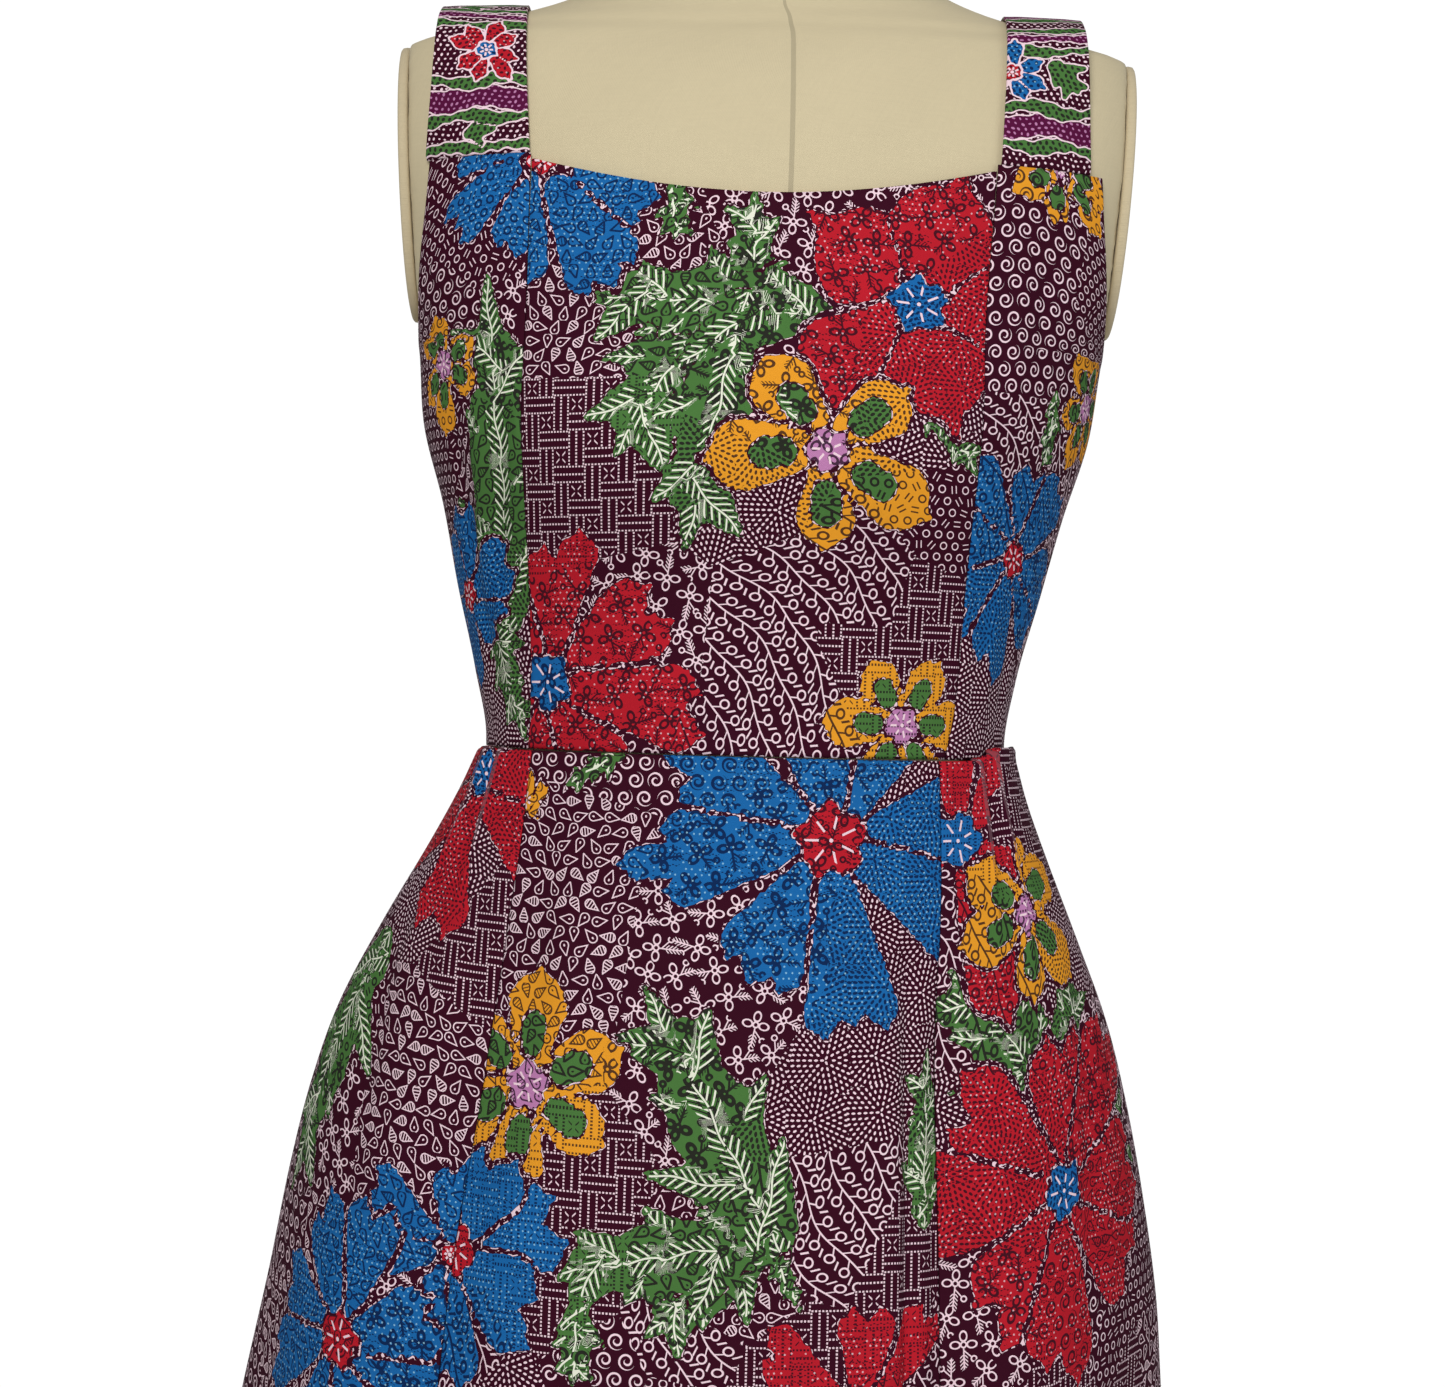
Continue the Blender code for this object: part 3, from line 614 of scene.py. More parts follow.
    def fill(self, seeds):
        """Each place takes the filler of its nearest seed."""
        nearest = {fill: np.full(self.cut.shape[:-1], 1e3) for fill in FILLS}
        for fill, at in seeds:
            away = self.cut - np.asarray(at, float)
            gap = np.hypot(away[..., 0], away[..., 1]) + 2.5 * self.wobble
            nearest[fill] = np.minimum(nearest[fill], gap)
        for fill in FILLS:
            others = np.min([nearest[other] for other in FILLS if other != fill], axis=0)
            self.fills[fill] = np.clip((nearest[fill] - others) / 2, -FAR, FAR)

    def attributes(self):
        """The flat coordinates, and vectors that hold three distances each."""
        flat = np.concatenate([self.cut, np.zeros((*self.cut.shape[:-1], 1))], -1)
        layers = {"cut": flat}
        for kind, distances, names in (("ink", self.inks, INKS), ("fill", self.fills, FILLS)):
            for k, letter in zip(range(0, len(names), 3), "abc"):
                layers[f"{kind}_{letter}"] = np.stack([distances[name] for name in names[k : k + 3]], -1)
        return layers | {"vein": self.vein, "heart": self.heart}


BC, BL, BR = "bodice_front_center", "bodice_front_side_left", "bodice_front_side_right"
SC, SL, SR = "skirt_front_center", "skirt_front_side_left", "skirt_front_side_right"

# Leaves: piece, base x and height, tip x and height, half width
LEAVES = (
    (BC, -6, 185, -4, 252, 8.5),
    (BC, -20, 200, -62, 130, 16.0),
    (BC, 28, 192, -83, 203, 14.0),
    (BC, -8, 196, -31, 90, 15.0),
    (BC, -41, 252, -39, 227, 4.5),
    (BC, 62, 168, 97, 125, 5.5),
    (BL, -112, 60, -124, 212, 17.5),
    (BL, -121, 62, -103, 4, 8.0),
    (BR, 133, 166, 127, 115, 4.0),
    (SC, 12, -204, 26, -234, 3.0),
    (SC, 10, -206, -40, -246, 10.0),
    (SC, 12, -205, -86, -222, 13.0),
    (SC, 14, -203, -44, -101, 16.0),
    (SC, 80, -196, 80, -126, 7.5),
    (SC, -67, -236, -70, -267, 5.4),
    (SR, 128, -142, 102, -162, 9.0),
    (SR, 140, -146, 151, -98, 11.0),
    (SR, 137, -144, 90, -92, 15.5),
    (SR, 173, -150, 168, -239, 10.8),
    (SL, -168, -92, -208, -208, 15.0),
    (SC, -58, -1, -82, -15, 3.0),
)
# Flowers: piece, ink, x, height, length of a petal, how many, first one's angle, its fingers, half width,
# heart, radius of the heart
FLOWERS = (
    (BC, "red", 68, 201, 60, 5, 150, 1, 29, "blue", 12.0),
    (BC, "yellow", 29, 133, 47, 5, 48, 0, 0, "pink", 8.6),
    (BC, "red", -92, 31, 77, 8, 35, 2, 18.5, "blue", 12.2),
    (BC, "blue", -99, 261, 62, 8, -15, 3, 17, "red", 6.0),
    (BL, "blue", -104, 262, 42, 7, -100, 3, 13, "red", 3.0),
    (BC, "yellow", 66, 15, 33, 6, 60, 0, 0, "pink", 7.7),
    (BR, "blue", 117, 92, 54, 8, 80, 2, 15, "red", 7.7),
    (BR, "yellow", 150, 163, 28, 6, 10, 0, 0, "pink", 6.3),
    (BR, "yellow", 133, 270, 27, 6, -90, 0, 0, "pink", 3.5),
    (BL, "yellow", -144, 174, 28, 6, 30, 0, 0, "pink", 6.3),
    (BL, "blue", -132, 70, 42, 6, 90, 2, 14, "red", 6.8),
    (SC, "blue", 35, -36, 82, 8, 12, 3, 19.5, "red", 14.8),
    (SC, "yellow", -94, -145, 45, 6, 25, 0, 0, "pink", 9.9),
    (SC, "blue", -129, -217, 58, 7, 15, 2, 19, "red", 10.3),
    (SL, "blue", -126, -220, 48, 7, 40, 2, 11, "red", 4.0),
    (SC, "yellow", -106, -23, 12, 5, 20, 1, 5, "yellow", 5.0),
    (SC, "red", 53, -279, 58, 8, 92, 2, 12, "blue", 12.6),
    (SR, "red", 93, -35, 76, 6, -80, 1, 18, "blue", 11.7),
    (SR, "yellow", 125, -67, 41, 6, 80, 0, 0, "pink", 8.9),
    (SR, "red", 144, -190, 80, 8, 92, 2, 22, "blue", 11.0),
    (SL, "red", -121, -13, 92, 7, -95, 2, 20, "blue", 9.9),
    (SL, "blue", -176, -262, 64, 8, 70, 2, 15, "red", 10.8),
)
# Seeds of the fillers: piece, filler, x and height of each
SEEDS = {
    BC: {
        "tear": ((-67, 230), (-85, 187), (-48, 204)),
        "sprig": ((16, 237), (5, 163), (-45, 68)),
        "basket": ((-85, 138), (-56, 112), (75, 68), (51, 44)),
        "burst": ((79, 158), (-17, 112)),
        "berry": ((3, 64), (51, 73), (20, 29)),
        "ring": ((88, 103),),
    },
    BL: {
        "ring": ((-139, 250), (-127, 221), (-145, 137)),
        "spiral": ((-141, 200),),
        "burst": ((-117, 56),),
        "sprig": ((-107, 191),),
        "tear": ((-127, 115),),
    },
    BR: {
        "spiral": ((125, 223), (141, 191), (120, 182)),
        "berry": ((116, 146), (147, 128)),
        "ring": ((154, 205),),
        "burst": ((100, 25),),
        "sprig": ((138, 65),),
    },
    SC: {
        "spiral": ((-67, -2), (-62, -273)),
        "tear": ((-75, -36), (-67, -71), (-123, -127)),
        "sprig": ((-6, -123), (-32, -77)),
        "burst": ((29, -145), (76, -119)),
        "berry": ((37, -192), (-15, -249)),
        "basket": ((-93, -188), (76, -212)),
    },
    SR: {
        "sprig": ((100, -258), (108, -290), (166, -132)),
        "basket": ((117, -7), (131, -42)),
        "burst": ((151, -89), (104, -165)),
        "spiral": ((155, -248),),
        "tear": ((169, -217),),
        "berry": ((110, -109),),
    },
    SL: {
        "burst": ((-141, -66),),
        "basket": ((-123, -90),),
        "tear": ((-145, -133), (-159, -183)),
        "sprig": ((-186, -178),),
        "spiral": ((-204, -228),),
        "berry": ((-145, -34),),
        "ring": ((-181, -115),),
    },
}
PRINT_FOOT = -300.0  # flat height down to which the photo shows the skirt's front
REPEAT = 92.0  # pitch of the motifs where the photo doesn't show them


def repeat_print(sheet, low, high, seed):
    """A batik repeat of the same motifs over the part of a sheet between two flat heights."""
    rng = np.random.default_rng(seed)
    left, right = sheet.cut[..., 0].min(), sheet.cut[..., 0].max()
    kinds = ("blue", "leaf", "red", "yellow", "leaf")
    seeds, k = [], seed
    rows = max(int(round((high - low) / REPEAT)), 1)
    columns = max(int(round((right - left) / REPEAT)), 1)
    for j in range(rows + 1):
        for i in range(columns + 1):
            at = np.array([left + (i + 0.5 * (j % 2)) * REPEAT, low + j * REPEAT]) + rng.uniform(-14, 14, 2)
            for _ in range(3):
                spot = at + rng.uniform(-45, 45, 2)
                fill = FILLS[int(rng.integers(0, 8)) if rng.random() < 0.8 else 0]
                seeds.append(("sprig" if fill == "dots" else fill, spot))
            turn = float(rng.uniform(0, 360))
            kind = kinds[k % len(kinds)]
            k += 1
            if at[1] < low - 10 or at[1] > high - 25:
                continue
            if kind == "leaf":
                way = heading(turn)
                sheet.leaf(at - way * 45, at + way * 45, 14.0)
            elif kind == "yellow":
                sheet.flower(at, "yellow", 40, 6, turn, 0, 0, "pink", 9.0)
            else:
                heart = "red" if kind == "blue" else "blue"
                sheet.flower(at, kind, 56, 7, turn, 2 + k % 2, 18, heart, 12.0)
    return seeds


def print_for(name, cut, points, seed):
    """The print of one sheet: the motifs that the photo shows, and a repeat beyond them."""
    sheet = Print(cut)
    spot = partial(find, cut, points)
    low, high = cut[..., 1].min(), cut[..., 1].max()
    seeds = []
    if name not in (BC, BL, BR, SC, SL, SR):
        seeds += repeat_print(sheet, low, high + 30, seed)
    elif name in (SC, SL, SR):
        seeds += repeat_print(sheet, low, PRINT_FOOT, seed)
    for piece, x, height, tip_x, tip_height, width in LEAVES:
        if piece == name:
            sheet.leaf(spot(x, height), spot(tip_x, tip_height), width)
    for piece, ink, x, height, *rest in FLOWERS:
        if piece == name:
            sheet.flower(spot(x, height), ink, *rest)
    for fill, places in SEEDS.get(name, {}).items():
        seeds += [(fill, spot(x, height)) for x, height in places]
    sheet.fill(seeds)
    return sheet


# Materials
class Value:
    """A number at each point of a surface, worked out by a material's nodes."""

    tree = None

    def __init__(self, source):
        self.source = source

    @classmethod
    def math(cls, kind, *values, clamp=False):
        made = node("ShaderNodeMath", operation=kind, use_clamp=clamp)
        for value, socket in zip(values, made.inputs):
            plug(value, socket)
        return cls(made.outputs[0])


def operator(kind, swapped=False):
    def work(self, other):
        return Value.math(kind, *((other, self) if swapped else (self, other)))

    return work


for kind, sign in (("ADD", "add"), ("SUBTRACT", "sub"), ("MULTIPLY", "mul")):
    setattr(Value, f"__{sign}__", operator(kind))
    setattr(Value, f"__r{sign}__", operator(kind, swapped=True))
for kind, sign in (("DIVIDE", "truediv"), ("POWER", "pow"), ("LESS_THAN", "lt"), ("GREATER_THAN", "gt")):
    setattr(Value, f"__{sign}__", operator(kind))

absolute = partial(Value.math, "ABSOLUTE")
fract = partial(Value.math, "FRACT")
floor = partial(Value.math, "FLOOR")
sine = partial(Value.math, "SINE")
cosine = partial(Value.math, "COSINE")
least = partial(Value.math, "MINIMUM")
most = partial(Value.math, "MAXIMUM")


def hypot(x, y):
    return Value.math("SQRT", x * x + y * y)


def any_of(*marks):
    return reduce(most, marks)


def near(value, width):
    return absolute(value) < width


def repeat(value, pitch, shift=0.0):
    """The way from the middle of a repeat, which may be shifted by a share of its pitch."""
    return (fract(value * (1 / pitch) + shift) - 0.5) * pitch


def bearing(x, y, parts=1):
    """The direction of a point, counted in parts of a turn."""
    return Value.math("ARCTAN2", y, x) * (parts / (2 * math.pi))


def node(kind, **settings):
    made = Value.tree.nodes.new(kind)
    for key, value in settings.items():
        setattr(made, key, value)
    return made


def plug(value, socket):
    if isinstance(value, Value):
        Value.tree.links.new(value.source, socket)
    else:
        socket.default_value = value


def set_inputs(made, values):
    for name, value in values.items():
        plug(value, made.inputs[name])


def vector(x, y, z=0.0):
    made = node("ShaderNodeCombineXYZ")
    for value, socket in zip((x, y, z), made.inputs):
        plug(value, socket)
    return Value(made.outputs[0])


def split(value):
    made = node("ShaderNodeSeparateXYZ")
    plug(value, made.inputs[0])
    return [Value(socket) for socket in made.outputs]


def attribute(name):
    return Value(node("ShaderNodeAttribute", attribute_name=name).outputs["Vector"])


def read_distances(kind, names):
    """The distances that the sheets' attributes hold, three to a vector."""
    found = []
    for letter in "abc"[: len(names) // 3]:
        found += split(attribute(f"{kind}_{letter}"))
    return dict(zip(names, found))


def chance(x, y):
    """Three random numbers for a cell."""
    made = node("ShaderNodeTexWhiteNoise", noise_dimensions="2D")
    plug(vector(x, y), made.inputs["Vector"])
    return split(Value(made.outputs["Color"]))


def noise(where, scale, detail=2.0):
    made = node("ShaderNodeTexNoise", noise_dimensions="3D")
    set_inputs(made, {"Vector": where, "Scale": scale, "Detail": detail})
    return Value(made.outputs["Fac"])


def turn_by(x, y, angle):
    made = node("ShaderNodeVectorRotate", rotation_type="Z_AXIS")
    set_inputs(made, {"Vector": vector(x, y), "Angle": angle})
    return split(Value(made.outputs[0]))[:2]


def blend_colour(share, below, above):
    made = node("ShaderNodeMix", data_type="RGBA")
    plug(share, made.inputs["Factor"])
    for colour, socket in zip((below, above), (made.inputs[6], made.inputs[7])):
        plug(colour if isinstance(colour, Value) else (*colour, 1), socket)
    return Value(made.outputs[2])


def cells(u, v, wide, tall):
    """The place within a cell of a brick lattice, and the cell's own indices."""
    row = floor(v * (1 / tall))
    shift = fract(row * 0.5)
    return repeat(u, wide, shift), repeat(v, tall), floor(u * (1 / wide) + shift), row


def weave(u, v, pitch):
    turn = 2 * math.pi / pitch
    return sine(u * turn) * sine(v * turn)


def new_material(name):
    material = bpy.data.materials.new(name)
    material.use_nodes = True
    Value.tree = material.node_tree
    return material, Value.tree.nodes["Principled BSDF"]


def add_bump(shader, height, strength, distance):
    bump = node("ShaderNodeBump")
    set_inputs(bump, {"Height": height, "Strength": strength, "Distance": distance})
    plug(Value(bump.outputs[0]), shader.inputs["Normal"])


PLUM = (0.042, 0.0024, 0.0135)
# Inks in the order in which they cover each other
COLOURS = {
    "magenta": (0.105, 0.006, 0.052),
    "green": (0.075, 0.205, 0.050),
    "red": (0.55, 0.013, 0.027),
    "blue": (0.010, 0.150, 0.45),
    "yellow": (0.92, 0.38, 0.025),
    "pink": (0.58, 0.24, 0.50),
}
WHITE = (1.0, 0.76, 0.85)
LEAF_WHITE = (0.93, 0.96, 0.80)
MAGENTA_WHITE = (0.56, 0.23, 0.46)
SKY = (0.42, 0.80, 1.0)  # the specks on blue
OVERPRINT = (0.016, 0.005, 0.014)  # where a filler crosses a motif
NAVY = (0.0015, 0.010, 0.065)  # the same on blue
SHADE = (0.012, 0.003, 0.006)  # the cloth's darker patches
WRONG_SIDE = (0.15, 0.08, 0.10)
FULL_TURN = 6.28
DROP_RADIUS = 2.05
DROP_LEAN = 0.42  # sine of the angle between a drop's axis and its flank
BASKET = 7.7  # cell of the basket weave
BURST = 27  # pitch of the sunbursts
BURST_STEP = 2.6  # from one ring of a sunburst's dashes to the next
LANE = 16.6  # pitch of the stems with berries
LANE_SHIFT = 13.0  # from one stem's bends to the next one's
BERRY_PITCH = 8.6
SLANT = 0.9  # angle of the stems and sprigs to the cloth


def small_marks(u, v, inside, bold):
    """Drops, curls, rings and pairs of dashes, each turned at random in a brick lattice."""
    size = 1 + inside["spiral"] * 0.22 - inside["ring"] * 0.19
    x, y, column, row = cells(u / size, v / size, 7.7, 6.6)
    turned_by, filling, kind = chance(column, row)
    x, y = turn_by(x, y, turned_by * FULL_TURN)
    away, side, drop_x = hypot(x, y), absolute(y), x + 1.4
    flank = math.sqrt(1 - DROP_LEAN**2)
    round_end = hypot(drop_x, y) - DROP_RADIUS
    straight = side * flank + drop_x * DROP_LEAN - DROP_RADIUS
    on_straight = (drop_x * flank - side * DROP_LEAN) > 0
    drop = round_end + (straight - round_end) * on_straight
    hatched = filling > 0.6
    bars = near(fract(x * 0.72 + 0.4) - 0.5, 0.18) * (drop < -0.15) * hatched
    eye = (hypot(drop_x * 0.7, y) < 0.42) * (1 - hatched)
    drops = any_of(near(drop, 0.27 + bold * 0.8), bars, eye) * inside["tear"]
    coil = fract(away * (1 / 1.9) - bearing(x, y))
    curls = near(coil - 0.5, 0.19 + bold * 0.5) * near(away - 1.9, 1.15) * inside["spiral"]
    ringed = kind > 0.42
    rings = near(away - 2.0, 0.36 + bold) * ringed
    dashes = near(side - 1.35, 0.32 + bold) * near(x, 2.2) * (1 - ringed)
    return any_of(drops, curls, most(rings, dashes) * inside["ring"])


def burst_marks(cut, u, v, bold):
    """Sunbursts of dashes round scattered centres."""
    spot = node("ShaderNodeTexVoronoi", voronoi_dimensions="2D", feature="F1")
    set_inputs(spot, {"Vector": cut, "Scale": 1 / BURST, "Randomness": 0.35})
    centre_x, centre_y, _ = split(Value(spot.outputs["Position"]))
    x, y = u - centre_x, v - centre_y
    reach = hypot(x, y)
    hoop = floor(reach * (1 / BURST_STEP))
    sectors = floor((hoop + 0.5) * 2.2 * math.pi + 0.5)
    lengthwise = repeat(reach, BURST_STEP)
    off_ray = fract(bearing(x, y) * sectors + fract(hoop * 0.5)) - 0.5
    crosswise = off_ray * (2 * math.pi) * reach / most(sectors, 1.0)
    return (lengthwise * (1 / 0.86)) ** 2 + (crosswise * (1 / 0.49)) ** 2 < 1 + bold * 3


def oval_marks(u, v, bold):
    """Small ovals, close together."""
    x, y, column, row = cells(u, v + sine(u * 0.21) * 1.1, 3.2, 2.5)
    tilt, plump, nudge = chance(column, row)
    x, y = turn_by(x + (nudge - 0.5) * 0.8, y + (plump - 0.5) * 0.5, tilt * 1.5)
    return (x * (1 / 0.95)) ** 2 + (y * (1 / 0.60)) ** 2 < 0.45 + plump * 0.6 + bold * 2.5


def basket_marks(u, v, bold):
    """Dotted basket weave: bars of three lines, two cells long, about small squares."""
    kind = fract((floor(u * (1 / BASKET)) + floor(v * (1 / BASKET)) * 3) * 0.2 + 0.02)
    upright = most(kind < 0.2, (kind > 0.6) * (kind < 0.8))
    level = (kind > 0.2) * (kind < 0.6)
    fold_u, fold_v = (absolute(fract(way * (1 / BASKET)) - 0.5) for way in (u, v))
    dot_u, dot_v = (near(fract(way * (5 / BASKET)) - 0.5, 0.28) for way in (u, v))
    ruled = [least(fold, absolute(fold - 0.46)) < 0.056 + bold * 0.12 for fold in (fold_u, fold_v)]
    corners = near(fold_u - fold_v, 0.05) * near(fold_u - 0.2, 0.1) * (kind > 0.8)
    return any_of(ruled[0] * dot_v * upright, ruled[1] * dot_u * level, corners)


def berry_marks(u, v, bold):
    """Berries on curved stems, on both sides by turns, with a blade between two of them."""
    vine = v + 9.0 * sine(u * (1 / 24))
    bend = (u + floor(vine * (1 / LANE)) * LANE_SHIFT) * (2 * math.pi / 37)
    height = repeat(vine, LANE) - 1.1 * sine(bend)
    side, up = (height > 0) * 0.5, absolute(height)
    place, gap_place = repeat(u, BERRY_PITCH, side), repeat(u, BERRY_PITCH, side + 0.5)
    stem = up < 0.38 + bold
    ringlet = near(hypot(place, up - 5.2) - 1.9, 0.40 + bold)
    twig = near(place + (3.35 - up) * 0.8, 0.36 + bold) * (up < 3.35)
    blade = near(gap_place + (5.6 - up) * 0.5, 0.44 + bold) * near(up - 5.6, 1.8)
    return any_of(stem, ringlet, twig, blade)


def sprig_marks(u, v, bold):
    """Three outlined petals round a ring, on a stem that ends in a feather and bears a bud."""
    x, y, column, row = cells(u, v, 14.6, 12.8)
    turned_by, sideways, endways = chance(column, row)
    x, y = turn_by(x + (endways - 0.5) * 2.4, y + (sideways - 0.5) * 1.4, turned_by * FULL_TURN)
    x, side = x + 1.6, absolute(y)
    away = hypot(x, y)
    swing = (fract(bearing(x, y, 4) + 0.5) - 0.5) * (math.pi / 2)
    petal_x, petal_y = away * cosine(swing) - 3.6, away * sine(swing)
    blossom = near(hypot(petal_x * (1 / 2.1), petal_y * (1 / 1.5)) - 1, 0.21 + bold) * (x < side)
    core = near(away - 1.15, 0.34 + bold)
    stalk = (side < 0.30 + bold) * (x > 1.3)
    feather = near(fract((x - side) * (1 / 1.6)) - 0.5, 0.21) * (side < 1.7) * (x > 4.4)
    twig = near(y - (x - 2.4) * 1.1, 0.42 + bold) * (y > 0) * (y < 3.2)
    bud = near(hypot(x - 6.2, y - 4.3) - 1.15, 0.33 + bold)
    return any_of(blossom, core, stalk, feather, twig, bud)


def leaf_veins(cut):
    """The leaves' white veins, which fade in patches, and the dark ones beside them."""
    along, across, clear = split(attribute("vein"))
    off = absolute(across)
    rhythm = (along - off * 1.05) * (1 / 4.3)
    inner = (off < 5.8 + sine(rhythm * 1.7) * 0.9) * (off > 0.7) * (clear > 1.1)
    midrib = (off < 0.42) * (clear > 0.5)
    patchy = noise(cut, 0.09, 1.0) > 0.37
    pale = most((fract(rhythm) < 0.26) * inner, midrib) * patchy
    return pale, most(near(fract(rhythm) - 0.62, 0.11) * inner, midrib)


def heart_marks(x, y, gap):
    """A dot in the middle of a flower's heart and seven strokes round it."""
    reach = hypot(x, y)
    off_stroke = (fract(bearing(x, y, 7)) - 0.5) * (2 * math.pi / 7) * reach
    strokes = near(reach / most(reach - gap, 1.0) - 0.56, 0.2) * near(off_stroke, 0.5)
    return most(strokes, reach < 0.9) * (gap < -0.8)


def batik_material(name, faded=0.0):
    """Wax-resist print: white line fillers on plum, the same fillers dark on the coloured motifs."""
    material, shader = new_material(name)
    cut = attribute("cut")
    u, v, _ = split(cut)
    inks = read_distances("ink", INKS)
    red, blue, yellow, green, pink, magenta = inks.values()
    inside = {fill: gap < 0 for fill, gap in read_distances("fill", FILLS).items()}
    nearest = least(least(least(red, blue), least(yellow, green)), pink)
    on_motif, on_blue, on_green = nearest < 0, blue < 0, green < 0
    bold = on_motif * 0.14 + on_blue * 0.10 + on_green * 0.17
    slanted = turn_by(u, v, SLANT)
    lines = any_of(
        small_marks(u, v, inside, bold),
        burst_marks(cut, u, v, bold) * inside["burst"],
        oval_marks(u, v, bold) * inside["dots"],
        basket_marks(u, v, bold) * inside["basket"],
        berry_marks(*slanted, bold) * inside["berry"],
        sprig_marks(*slanted, bold) * inside["sprig"],
    )

    # White specks on the red and blue motifs, and dark ones between them
    x, y, column, row = cells(u, v, 2.9, 2.6)
    sideways, present, endways = chance(column + 31.0, row)
    speck = hypot(x + (sideways - 0.5) * 0.8, y + (endways - 0.5) * 0.7) < 0.43
    often = present * 0.7 + noise(cut, 0.05) * 2.0 + (blue < red) * 0.18 > 1.38
    heart_x, heart_y, heart_gap = split(attribute("heart"))
    specks = speck * often * (least(red, blue) < -0.6) * (heart_gap > 0)
    between = hypot(absolute(x) - 1.45, absolute(y) - 1.3) < 0.55
    shadowed = between * (noise(cut, 0.07, 1.0) > 0.5) * (least(red, blue) < -0.8)

    outline = (nearest > 0.2) * (nearest < 0.62) * (noise(cut, 0.5, 0.0) > 0.54)
    border_outline = near(least(nearest, magenta) - 0.45, 0.40) * inside["none"]
    veins, dark_veins = leaf_veins(cut)
    dark_lines = any_of(lines * on_motif, shadowed, dark_veins * (green < -0.8))
    white_lines = any_of(
        lines * (nearest > 1.1),
        outline,
        border_outline,
        veins * (green < -0.8),
        heart_marks(heart_x, heart_y, heart_gap),
    )

    motif = PLUM
    for ink, colour in COLOURS.items():
        motif = blend_colour(inks[ink] < 0, motif, colour)
    dark = blend_colour(0.9, motif, blend_colour(on_blue, OVERPRINT, NAVY))
    white = blend_colour(magenta < 0, WHITE, MAGENTA_WHITE)
    white = blend_colour(on_green, white, LEAF_WHITE)
    printed = blend_colour(dark_lines, motif, dark)
    printed = blend_colour(specks * 0.6, printed, blend_colour(on_blue, white, SKY))
    printed = blend_colour(white_lines, printed, white)
    printed = blend_colour(noise(cut, 0.03, 3.0) * 0.22, printed, SHADE)
    if faded:
        printed = blend_colour(faded, printed, WRONG_SIDE)
    set_inputs(shader, {"Base Color": printed, "Roughness": 0.82, "Specular IOR Level": 0.08})
    add_bump(shader, weave(u, v, 0.9) * 0.5 + noise(cut, 0.35, 3.0) * 1.2, 0.35, 0.0002)
    return material


def linen_material(name, colour, seam_dark):
    """Pale linen with a plain weave, slubs and fine seams."""
    material, shader = new_material(name)
    cut = attribute("cut")
    u, v, seam = split(cut)
    darkest, darker, dark, light = (tuple(c * share for c in colour) for share in (0.45, 0.7, 0.86, 1.07))
    slubs = noise(vector(u * 0.25, v * 2.2), 0.35, 3.0) + noise(vector(u * 2.2, v * 0.25), 0.35, 3.0)
    shaded = blend_colour(slubs * 0.35 + noise(cut, 0.012, 3.0) * 0.5, dark, light)
    threads = weave(u, v, 1.1) * 0.5 + 0.5
    shaded = blend_colour((threads < 0.18) * 0.10, shaded, darker)
    shaded = blend_colour((seam < 0.4) * seam_dark, shaded, darkest)
    looks = {"Base Color": shaded, "Roughness": 0.9, "Specular IOR Level": 0.2, "Sheen Weight": 0.1}
    set_inputs(shader, looks)
    add_bump(shader, threads + slubs * 0.5 - (seam < 1.2) * 1.5, 0.3, 0.0003)
    return material


def hard_material(name, dark, light, roughness, metallic, grain, stretch=(1, 1, 1)):
    """Wood, iron or metal: two tones mixed by a stretched noise, which also roughens the surface."""
    material, shader = new_material(name)
    place = node("ShaderNodeMapping")
    coordinates = Value(node("ShaderNodeTexCoord").outputs["Object"])
    set_inputs(place, {"Vector": coordinates, "Scale": stretch})
    mottled = noise(Value(place.outputs[0]), grain, 5.0)
    rough = roughness + (mottled - 0.5) * 0.3
    tone = blend_colour(mottled, dark, light)
    set_inputs(shader, {"Base Color": tone, "Roughness": rough, "Metallic": metallic})
    add_bump(shader, mottled, 0.25, 0.0002)
    return material


BATIK = batik_material("batik")
BATIK_BACK = batik_material("batik_back", faded=0.55)
LINEN = linen_material("linen", (0.635, 0.55, 0.362), 0.5)
# The form's own linen made a little darker: painted shade for the arm plates, which face sideways
PAINTED_SHADE_PLATE_LINEN = linen_material("plate_linen_painted_shade", (0.60, 0.51, 0.34), 0.0)
WOOD = hard_material("turned_wood", (0.10, 0.035, 0.014), (0.30, 0.14, 0.06), 0.42, 0.0, 18.0, (1, 1, 0.08))
IRON = hard_material("cast_iron", (0.016, 0.016, 0.017), (0.04, 0.04, 0.042), 0.5, 0.7, 120.0)
STEEL = hard_material("brushed_steel", (0.42, 0.42, 0.43), (0.62, 0.62, 0.63), 0.3, 1.0, 40.0, (1, 1, 0.05))
ZIP_METAL = hard_material("zip_metal", (0.50, 0.42, 0.30), (0.72, 0.62, 0.46), 0.32, 1.0, 900.0)
TAPE = hard_material("zip_tape", (0.045, 0.008, 0.022), (0.075, 0.016, 0.036), 0.85, 0.0, 2500.0)


# Pieces of cloth
def columns_for(count):
    """Shares across a panel, close together beside its two seams."""
    close = np.array([0, 0.004, 0.009, 0.016])
    return np.concatenate([close, np.linspace(0.025, 0.975, count), (1 - close)[::-1]])


def arc(points, axis):
    steps = np.linalg.norm(np.diff(points, axis=axis), axis=-1)
    pad = [(1, 0) if k == axis else (0, 0) for k in range(2)]
    return np.pad(np.cumsum(steps, axis=axis), pad)


def flat_coordinates(points, home, waist_row):
    """Flat coordinates of a sheet: across from a home column, and along from the waist's row."""
    across = arc(points, 1)
    across = across - across[:, [home]] + points[:, [home], 0]
    along = arc(points, 0)
    along = along - along[[waist_row], :]
    return np.stack([across, along], -1)


